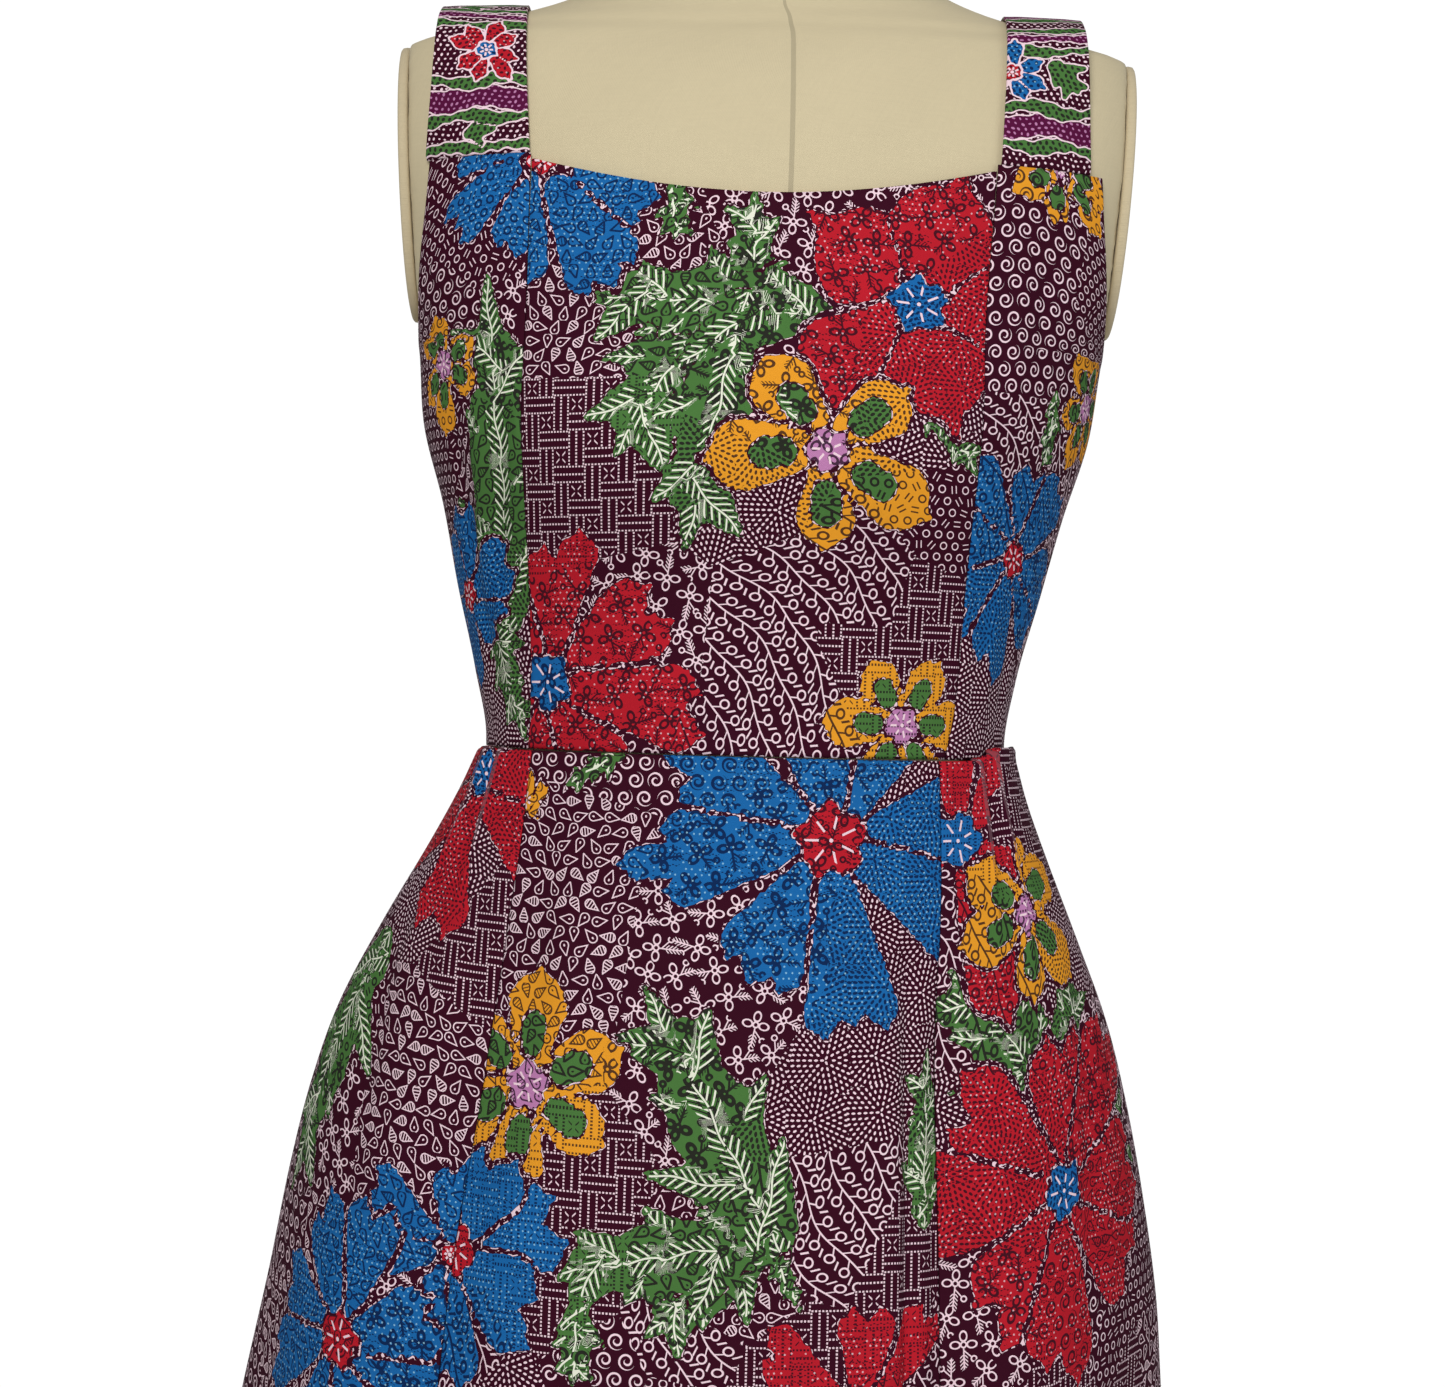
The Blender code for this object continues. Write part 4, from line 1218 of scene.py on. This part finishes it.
def seam_dip(name, across, along):
    """How far the cloth rolls in beside its seams."""
    dip = bell(across, SEAM_ROLL) + bell(across[:, [-1]] - across, SEAM_ROLL)
    if name.startswith("bodice"):
        return np.maximum(dip, 0.4 * bell(along, SEAM_ROLL))
    return np.maximum(dip, 2.0 * bell(along[[-1], :] - along, SEAM_ROLL))


# Creases: piece, x and height where one starts and ends, out, half width
CREASES = (
    (BL, -114, 150, -117, 70, -2.2, 5.0),
    (BL, -128, 160, -122, 60, 1.8, 6.0),
    (BL, -121, 95, -108, 22, 1.8, 4.5),
    (BL, -131, 110, -118, 25, -1.8, 4.5),
    (BL, -140, 150, -128, 70, -1.5, 5.0),
    (BR, 127, 225, 125, 170, -1.0, 3.5),
    (BR, 116, 232, 112, 160, 0.8, 5.0),
    (BR, 112, 90, 105, 20, 1.0, 5.0),
    (BR, 121, 80, 113, 12, -1.0, 4.0),
    (BC, -92, 60, -97, 10, -0.8, 5.0),
    (BC, 60, 40, 78, 6, -0.6, 6.0),
    (BC, -40, 30, -20, 4, -0.5, 7.0),
    (SC, -88, -20, -97, -150, -1.4, 9.0),
    (SC, -80, -60, -86, -240, 1.6, 11.0),
    (SC, 60, -30, 66, -170, -1.0, 10.0),
    (SL, -117, -40, -128, -150, -1.5, 6.0),
    (SL, -150, -60, -175, -200, -2.0, 8.0),
    (SC, 71, -80, 75, -360, -4.5, 5.0),
    (SC, 60, -90, 60, -400, 2.8, 11.0),
    (SC, 88, -90, 94, -420, -2.2, 5.0),
    (SR, 88, -90, 94, -420, -2.2, 5.0),
    (SR, 150, -90, 160, -260, -2.0, 9.0),
)

def crease(name, cut, points):
    out = np.zeros(cut.shape[:-1])
    for piece, x, height, end_x, end_height, depth, half_width in CREASES:
        if piece != name:
            continue
        a, b = find(cut, points, x, height), find(cut, points, end_x, end_height)
        gap, along, _ = capsule(cut, a, b, 0, 0)
        fade = np.sin(np.pi * np.clip((along / np.linalg.norm(b - a)) * 0.9 + 0.05, 0, 1)) ** 0.6
        out += depth * bell(gap, half_width) * fade
    return out


def hemmed(gap):
    """Thickness of a sheet at a distance from a turned edge."""
    return CLOTH + (HEMMED - CLOTH) * (1 - ease(HEM_DEPTH * 0.5, HEM_DEPTH, gap))


def finish_sheet(name, outer, thick, home, waist_row, seed):
    cut = flat_coordinates(outer, home, waist_row)
    printed = print_for(name, cut, outer, seed)
    made = add_shell(name + "_cloth", outer, thick, BATIK, BATIK_BACK, printed.attributes())
    flat = tuple(round(float(size) * MM, 3) for size in np.ptp(cut.reshape(-1, 2), axis=0))
    diagonals = np.cross(outer[1:, 1:] - outer[:-1, :-1], outer[:-1, 1:] - outer[1:, :-1])
    area = float(np.linalg.norm(diagonals, axis=-1).sum() / 2) * MM * MM
    area = round(min(area, flat[0] * flat[1]), 4)
    stand_for(made, name)


LOW_ROWS, HIGH_ROWS = 84, 40  # of the bodice, below and above the underarm
ARMHOLE_CLEAR = 12  # beside a free edge, over which no seam rolls in


def add_bodice():
    def princess(side):
        return lambda height: oval_angle(form_at(height), bodice_seams_at(height)[..., side])

    def side_line(sign, at_back):
        def line(height):
            angle = armhole_angle(np.clip((height - UNDERARM) / (BODICE_TOP - UNDERARM), 0, 1))
            return sign * (math.pi - angle if at_back else angle)

        return line

    def level(x):
        return np.full_like(x, BODICE_TOP)

    def back_top(x):
        return neckline(x) + (BODICE_TOP - NECK_CORNER) * ease(NECK_HALF - 6, NECK_HALF + 2, np.abs(x))

    left, right = princess(0), princess(1)
    back_left, back_right = centre_back(form_at, -1), centre_back(form_at, 1)
    low = np.linspace(SEAM / 2, UNDERARM, LOW_ROWS, endpoint=False)
    base = np.append(low, np.full(HIGH_ROWS + 1, UNDERARM))[:, None]
    share = np.append(np.zeros(LOW_ROWS), (np.arange(HIGH_ROWS + 1) / HIGH_ROWS) ** 2)[:, None]
    nominal = base + (BODICE_TOP - UNDERARM) * share
    # Name, start line, end line, top edge, columns, home column's share, free sides above the underarm,
    # seed of the repeat
    panels = (
        (BC, left, right, neckline, 92, 0.5, (False, False), 11),
        (BR, right, side_line(1, False), level, 44, 0.0, (False, True), 12),
        (BL, side_line(-1, False), left, level, 44, 1.0, (True, False), 13),
        ("bodice_back_right", side_line(1, True), back_right, back_top, 70, 1.0, (True, False), 14),
        ("bodice_back_left", back_left, side_line(-1, True), back_top, 70, 0.0, (False, True), 15),
    )
    for name, start, end, top, count, home, free, seed in panels:
        s = columns_for(count)[None, :]
        angle = start(nominal) + (end(nominal) - start(nominal)) * s
        peak = top(form_point(STRAP_SEAM, angle)[..., 0])
        height = base + (peak - UNDERARM) * share
        a = beside(form_point, height, start(nominal) + 0 * height, SEAM / 2)
        b = beside(form_point, height, end(nominal) + 0 * height, -SEAM / 2)
        armhole = np.clip((height - UNDERARM) / (peak - UNDERARM), 0, 1)
        lift = CLEAR + WALL + ARMHOLE_EASE * np.sin(math.pi * armhole)
        angles = a + (b - a) * s
        plain = lifted(form_point, height, angles, lift)
        across, along = arc(plain, 1), arc(plain, 0)
        dip = seam_dip(name, across, along)
        thick = np.full(across.shape, CLOTH)
        free_rows = (height > UNDERARM)[:, [0]]
        for is_free, gap in zip(free, (across, across[:, [-1]] - across)):
            if is_free:
                dip = np.where(free_rows & (gap < ARMHOLE_CLEAR), 0, dip)
                thick = np.where(free_rows, np.maximum(thick, hemmed(gap)), thick)
        if top is not level:
            thick = np.maximum(thick, hemmed(along[[-1], :] - along))
        home_column = int(round(home * (plain.shape[1] - 1)))
        cut = flat_coordinates(plain, home_column, 0)
        lift = lift - SEAM_DIP * dip + crease(name, cut, plain)
        lift = np.maximum(lift, CLEAR * 0.4 + CLOTH)
        outer = lifted(form_point, height, angles, lift)
        finish_sheet(name, outer, np.minimum(thick, lift - 0.3), home_column, 0, seed)


def add_skirt():
    def side(sign):
        return lambda height: np.full_like(height, sign * math.pi / 2)

    left, right = partial(line_angle, "left_seam"), partial(line_angle, "right_seam")
    # Name, start line, end line, columns, home column's share, way that its pleats face, seed of the repeat
    gores = (
        (SC, left, right, 96, 0.5, 1, 21),
        (SR, right, side(1), 74, 0.0, 1, 22),
        (SL, side(-1), left, 74, 1.0, -1, 23),
        ("skirt_back_right", side(1), centre_back(skirt_at, 1), 92, 1.0, -1, 24),
        ("skirt_back_left", centre_back(skirt_at, -1), side(-1), 92, 0.0, 1, 25),
    )
    at_waist = [-SEAM / 2, -0.8, -1.6, -2.6]
    fine = np.concatenate([at_waist, np.arange(-4.5, -320, -2.6), np.linspace(-320, HEM, 66)])
    height = fine[::-1][:, None]
    waist_row = len(height) - 1
    for name, start, end, count, home, facing, seed in gores:
        a = beside(skirt_point, height, start(height), SEAM / 2)
        b = beside(skirt_point, height, end(height), -SEAM / 2)
        s = columns_for(count)
        width = arc(skirt_point(height, a + (b - a) * s[None, :]), 1)[:, [-1]]
        half = PLEAT_HALF / float(width[-1, 0])
        pleats = [row[1:] for row in PLEATS if row[0] == name]
        for at, _, _ in pleats:
            s = s[np.abs(s - at) > half * 1.02]
            s = np.concatenate([s, at + half * np.linspace(-1, 1, 25)])
        s = np.sort(s)[None, :]
        slide = np.zeros((len(height), s.shape[1]))
        lift = np.zeros_like(slide)
        for at, depth, foot in pleats:
            behind = (at - s) * facing
            fade = ease(foot, foot * 0.3, height)
            fold = np.clip((s - at) / half, -1, 1) * facing
            slide += -facing * np.sin(math.pi * fold) * PLEAT_LAP / 2 / width * fade
            step = ease(0.55, -0.55, fold)
            lip = PLEAT_LIP * bell(behind * width - 2.0, 3.0) * step
            groove = PLEAT_GROOVE * bell(behind * width + 6.0, 4.0)
            lift += (depth * step * np.exp(-np.maximum(behind, 0) / PLEAT_SPREAD) + lip - groove) * fade
        lift *= np.sin(math.pi * np.clip(s, 0, 1)) ** 0.5
        angles = a + (b - a) * (s + slide)
        rise = {SR: ease(0.18, 0.5, s), "skirt_back_right": ease(0.35, 0, s)}.get(name, 0 * s)
        tall = height + WAIST_RISE * rise * ease(-35, 0, height)
        plain = lifted(skirt_point, tall, angles, lift)
        across, along = arc(plain, 1), arc(plain, 0)
        home_column = int(round(home * (plain.shape[1] - 1)))
        cut = flat_coordinates(plain, home_column, waist_row)
        lift = lift - SEAM_DIP * seam_dip(name, across, along) + crease(name, cut, plain)
        outer = lifted(skirt_point, tall, angles, lift)
        finish_sheet(name, outer, hemmed(along), home_column, waist_row, seed)


def shoulder_ray(x, ray):
    """How far the form reaches from the strap's seam along a ray over the shoulder."""
    near_end, far_end = np.zeros_like(x), np.full_like(x, 200.0)
    for _ in range(34):
        middle = (near_end + far_end) / 2
        y, height = -middle * np.cos(ray), STRAP_SEAM + middle * np.sin(ray)
        left, right, front, back, square = np.moveaxis(form_at(height), -1, 0)
        across = (np.abs(x) / np.where(x > 0, right, left)) ** square
        inside = across + (np.abs(y) / np.where(y < 0, front, back)) ** square < 1
        near_end, far_end = np.where(inside, middle, near_end), np.where(inside, far_end, middle)
    return near_end


def add_straps():
    s = np.concatenate([[0, 0.012, 0.03], np.linspace(0.06, 0.94, 36), [0.97, 0.988, 1.0]])[None, :]
    tip = SEAM / (2 * 80)
    ray = tip + (math.pi - 2 * tip) * np.linspace(0, 1, 230)[:, None]
    rise = np.sin(ray)
    for side, inner_seam, inner_top, outer_seam, outer_top in STRAPS:
        share = s if side == "right" else 1 - s
        inner = inner_seam + (inner_top - inner_seam) * rise
        outer_edge = outer_seam + (outer_top - outer_seam) * rise
        x = inner + (outer_edge - inner) * share
        full_ray = ray + 0 * x
        own, rest = shoulder_ray(x, full_ray), shoulder_ray(inner + 0 * x, full_ray)
        reach = own + (rest - own) * rise**3 + CLEAR + (STRAP_CLEAR - CLEAR) * rise**4
        lower = np.stack([x, -reach * np.cos(full_ray), STRAP_SEAM + reach * rise], -1)
        plain = lower + grid_normal(lower) * STRAP_WALL
        across, along = arc(plain, 1), arc(plain, 0)
        ends = bell(along, SEAM_ROLL) + bell(along[[-1], :] - along, SEAM_ROLL)
        edge = np.minimum(across, across[:, [-1]] - across)
        pillow = STRAP_PILLOW * (1 - bell(edge, 5.0)) - STRAP_PILLOW
        pillow = pillow + 0.12 * np.sin(along * 0.11 + across * 0.05)
        outer = plain + grid_normal(lower) * (pillow - 0.9 * ends)[..., None]
        thick = np.full(across.shape, STRAP_WALL - STRAP_PILLOW) - 0.6 * ends
        name = "strap_" + side
        cut = np.stack([across if side == "right" else across[:, [-1]] - across, along], -1)
        printed = border_print(cut, side)
        made = add_shell(name + "_cloth", outer, thick, BATIK, BATIK_BACK, printed.attributes())
        stand_for(made, name)


# Bands of the border print along a strap from the front seam: ink, from, to, wave
BORDER = (
    ("green", 1.6, 5.8, 0.7),
    ("green", 15.5, 21.5, 1.8),
    ("magenta", 22.3, 33.0, 1.6),
    ("green", 33.8, 39.5, 1.9),
    ("green", 66.0, 71.0, 1.5),
    ("magenta", 74.5, 79.0, 0.5),
)
BORDER_REPEAT = 80.0


def border_print(cut, side):
    """Wavy bands across the strap, with one flower and one leaf to a repeat."""
    sheet = Print(cut, rough=0.3)
    across, along = cut[..., 0], cut[..., 1]
    shift = 0.0 if side == "left" else 8.0
    for turn in range(-1, 5):
        up = turn * BORDER_REPEAT - shift
        for k, (ink, low, high, wave) in enumerate(BORDER):
            below = wave * np.sin(across * 0.17 + 2.1 * k + turn) + 0.45 * np.sin(across * 0.75 + k)
            above = wave * np.sin(across * 0.15 + 1.3 * k + 2 + turn) + 0.45 * np.sin(across * 0.65 + 2 * k)
            sheet.paint(ink, np.maximum(low + up + below - along, along - high - up - above), 0.9)
        if side == "left":
            sheet.flower((18, 53 + up), "red", 16.0, 8, 15, 1, 4.4, "blue", 4.2)
            sheet.leaf((30, 10 + up), (16, 12 + up), 2.6, lobes=1)
        else:
            sheet.flower((2, 56 + up), "blue", 16.0, 7, 30, 1, 4.6, "red", 4.0)
            sheet.leaf((22, 60 + up), (34, 47 + up), 4.4, lobes=2)
    sheet.vein[:] = FAR
    for fill in ("dots", "none"):
        sheet.fills[fill][:] = -FAR
    return sheet


# Form and stand
FORM_SEAM = 3.2  # how far the form's front seam lies to the right
FORM_REACH = 90.0  # radius at which the ways from its front and back seams are taken
SIDE_REACH = 60.0  # the same for its side seams


def add_form():
    close = np.array([0.4, 1.0, 2.2])
    centre = FORM_SEAM / FORM_REACH
    angles = np.linspace(-math.pi, math.pi, 168, endpoint=False)
    extra = centre + np.concatenate([-close[::-1], [0], close]) / FORM_REACH
    angles = np.sort(np.concatenate([angles[np.abs(angles - centre) > 2.6 / FORM_REACH], extra]))[None, :]
    steps = (np.arange(FORM_BOTTOM, 300, 5.0), np.arange(300, 345, 1.6), np.arange(345, 405, 2.4))
    heights = np.concatenate([*steps, np.linspace(405, FORM_TOP, 8)])[:, None]
    grid = form_point(heights, angles)
    groove = 0.45 * bell((angles - centre) * FORM_REACH, 0.7) * (0.3 + 0.7 * ease(200, 235, heights))
    grid = grid - grid_normal(grid) * groove[..., None]
    rows, columns = grid.shape[:2]
    closed = np.concatenate([grid, grid[:, :1]], 1)
    u, v = arc(closed, 1)[:, :-1], arc(closed, 0)[:, :-1]
    front_seam = np.abs(angles * FORM_REACH - centre * FORM_REACH)
    back_seam = np.abs(np.abs(angles) - math.pi) * FORM_REACH
    side_seam = np.abs(np.abs(angles) - math.pi / 2) * SIDE_REACH
    seam = np.minimum(np.minimum(front_seam, back_seam), side_seam) + 0 * v
    faces = grid_faces(rows, columns)
    j = np.arange(rows - 1) * columns
    faces += np.stack([j + columns - 1, j, j + columns, j + 2 * columns - 1], -1).tolist()
    faces.append(list(range(columns))[::-1])
    faces.append(list(range((rows - 1) * columns, rows * columns)))
    made = add_mesh("form_torso_linen", in_metres(grid.reshape(-1, 3)), faces, [LINEN], sharp=60)
    add_attribute(made, "cut", np.stack([u, v, seam], -1))
    stand_for(made, "form_torso")


def add_plates():
    middle = (PLATE_FOOT + PLATE_TOP) / 2
    half_tall = (PLATE_TOP - PLATE_FOOT) / 2
    lean = math.atan(PLATE_LEAN)
    half = PLATE_THICK / 2
    out = arm_flat(middle) + (SEAM + half) / math.cos(lean)
    # Share of the plate's radius, depth below its face
    rim = ((0, 0), (0.965, 0), (0.985, 0.25), (0.997, 0.9))
    profile = [(share, depth - half) for share, depth in rim] + [(1, 0)]
    profile += [(share, half - depth) for share, depth in rim[::-1]]
    for side, sign in (("left", -1), ("right", 1)):
        facing = Matrix(((0, 0, sign), (sign, 0, 0), (0, 1, 0))).to_4x4()
        place = Matrix.Translation(Vector((sign * out, -2, WAIST + middle)))
        place = place @ Matrix.Rotation(sign * lean, 4, "Y") @ facing
        name = "arm_plate_" + side
        # The plates take the darker linen, which paints in their shade
        made = turned(name + "_disc", profile, [PAINTED_SHADE_PLATE_LINEN], place, (PLATE_HALF_WIDTH, half_tall), sharp=45)
        points = np.array([v.co[:] for v in made.data.vertices]) / MM
        add_attribute(made, "cut", np.stack([points[:, 1], points[:, 2], np.full(len(points), FAR)], -1))
        stand_for(made, name)


def add_stand():
    top = WAIST + FORM_TOP + SEAM
    foot = BOSS_HEIGHT + SEAM
    head = WAIST + FORM_BOTTOM - SEAM
    # Radius and height, top to bottom
    knob = ((0, 42), (9, 40), (13, 34), (12, 27), (8, 22), (10, 18), (40, 13))
    disc = ((CAP_RADIUS, 6), (CAP_RADIUS, 0), (0, 0))
    boss = ((0, BOSS_HEIGHT), (22, BOSS_HEIGHT), (26, BOSS_HEIGHT - 5), (28, 44), (42, 34))
    rim = ((95, 26), (160, 19), (BASE_RADIUS - 7, 13), (BASE_RADIUS, 7), (BASE_RADIUS - 2, 0), (0, 0))
    tube = ((0, head), (POLE_RADIUS, head), (POLE_RADIUS, foot), (0, foot))
    # Solid, name, profile, radius of its rounded corners, material, slot
    pieces = (
        ("neck_cap", "neck_cap_turned", [(radius, top + h) for radius, h in knob + disc], 3.0, WOOD, "wood"),
        ("pole", "pole_tube", tube, 1.0, STEEL, "pole"),
        ("base", "base_casting", boss + rim, 3.0, IRON, "base"),
    )
    for name, made_name, profile, radius, material, slot in pieces:
        made = turned(made_name, rounded(profile[::-1], radius), [material], steps=112)
        stand_for(made, name)


TOOTH_PITCH = 1.5
TOOTH_ASIDE = 0.35  # from the middle of the zip, alternately to each side
TAPE_DEPTH = WALL * 0.75  # of the zip's tape below the cloth's face


def add_zip():
    height = np.linspace(ZIP_FOOT, ZIP_TOP, 214)
    back = np.full_like(height, math.pi)
    on_bodice = lifted(form_point, np.maximum(height, 0), back, np.full_like(height, CLEAR))
    on_skirt = lifted(skirt_point, np.minimum(height, 0), back, np.full_like(height, -WALL))
    y = on_bodice[:, 1] + (on_skirt[:, 1] - on_bodice[:, 1]) * ease(12, -12, height)
    spine = np.stack([np.zeros_like(y), y, height], -1)
    x_way = np.array([1.0, 0, 0])
    outer = spine[:, None, :] + x_way * (np.linspace(1, -1, 9) * ZIP_HALF)[None, :, None]
    outer[..., 1] += TAPE_DEPTH
    tape = add_shell("zip_tape_woven", outer, np.full(outer.shape[:2], 1.0), TAPE, TAPE, {"cut": outer})
    stand_for(tape, "zip_chain")

    tangent = unit(np.gradient(spine, axis=0))
    outward = unit(np.cross(-x_way, tangent))
    length = arc(spine[:, None, :], 0)[:, 0]
    points, faces = [], []
    for k in range(int(length[-1] / TOOTH_PITCH)):
        at = (k + 0.5) * TOOTH_PITCH
        centre, along, out = (
            np.array([np.interp(at, length, track[:, i]) for i in range(3)])
            for track in (spine, tangent, outward)
        )
        centre = centre + out * (TAPE_DEPTH + 0.25) + x_way * (TOOTH_ASIDE if k % 2 else -TOOTH_ASIDE)
        start = len(points)
        for depth, shrink in ((-0.25, 1.0), (0.3, 0.7)):
            for x, w in ((-1, -1), (1, -1), (1, 1), (-1, 1)):
                points.append(centre + x_way * (x * 1.1 * shrink) + along * w * 0.52 * shrink + out * depth)
        foot, head = range(start, start + 4), range(start + 4, start + 8)
        faces += [list(foot[::-1]), list(head)]
        faces += [[foot[i], foot[i - 3], head[i - 3], head[i]] for i in range(4)]
    teeth = add_mesh("zip_teeth", in_metres(points), faces, [ZIP_METAL], sharp=20)
    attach(teeth, "dress_and_form")
    for name in ("zip_slider", "zip_pull"):
        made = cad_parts[name]
        if not made.material_slots:
            made.data.materials.append(ZIP_METAL)
        for slot in made.material_slots:
            slot.material = ZIP_METAL
        edge = made.modifiers.new("rounded edge", "BEVEL")
        edge.width = 0.25 * MM
        edge.segments = 3
        edge.limit_method = "ANGLE"
        edge.harden_normals = True


# Stage
FLOOR_RADIUS = 2.4
FLOOR_STEPS = 96
FLOOR_HEIGHT = -0.0002


def add_stage():
    angle = np.linspace(0, 2 * math.pi, FLOOR_STEPS, endpoint=False)
    flat = np.full_like(angle, FLOOR_HEIGHT)
    points = np.stack([FLOOR_RADIUS * np.cos(angle), FLOOR_RADIUS * np.sin(angle), flat], -1)
    material, shader = new_material("pale_floor")
    tone = noise(Value(node("ShaderNodeTexCoord").outputs["Object"]), 3.0, 4.0)
    colour = blend_colour(tone, (0.74, 0.735, 0.72), (0.80, 0.795, 0.785))
    set_inputs(shader, {"Base Color": colour, "Roughness": 0.8})
    add_mesh("floor", points, [list(range(FLOOR_STEPS))], [material])


def add_world():
    """White all round, and brighter behind the object."""
    world = bpy.data.worlds.new("studio")
    bpy.context.scene.world = world
    world.use_nodes = True
    Value.tree = world.node_tree
    Value.tree.nodes.clear()
    background = node("ShaderNodeBackground")
    _, y, _ = split(Value(node("ShaderNodeTexCoord").outputs["Generated"]))
    behind = Value.math("MULTIPLY", y - 0.74, 6.0, clamp=True)
    set_inputs(background, {"Strength": 0.25 + behind * 0.78, "Color": (1.0, 1.0, 1.0, 1)})
    plug(Value(background.outputs[0]), node("ShaderNodeOutputWorld").inputs["Surface"])


def add_light(name, place, target, size, power, colour):
    light = bpy.data.lights.new(name, "AREA")
    light.shape = "DISK"
    light.size = size
    light.energy = power
    light.color = colour
    made = add_object(name, light)
    made.location = place
    made.rotation_euler = (Vector(target) - Vector(place)).to_track_quat("-Z", "Y").to_euler()


def add_camera():
    camera = bpy.data.cameras.new("camera")
    camera.lens = 68.0
    camera.sensor_width = 36
    camera.clip_start = 0.01
    made = add_object("camera", camera)
    made.matrix_world = (
        Matrix.Translation((-0.01358, -1.30, WAIST * MM + 0.0275))
        @ Matrix.Rotation(math.radians(90), 4, "X")
        @ Matrix.Rotation(math.radians(1.5), 4, "Z")
    )
    bpy.context.scene.camera = made


add_form()
add_plates()
add_stand()
add_bodice()
add_straps()
add_skirt()
add_zip()
add_stage()
add_world()
add_light("key", (-0.35, -2.1, 2.1), (0, 0, 1.1), 1.0, 34.0, (1.0, 0.985, 0.96))
add_light("fill", (1.7, -1.4, 1.3), (0, 0, 1.0), 1.4, 9.0, (0.96, 0.98, 1.0))
add_camera()
bpy.context.scene.view_settings.view_transform = "Standard"
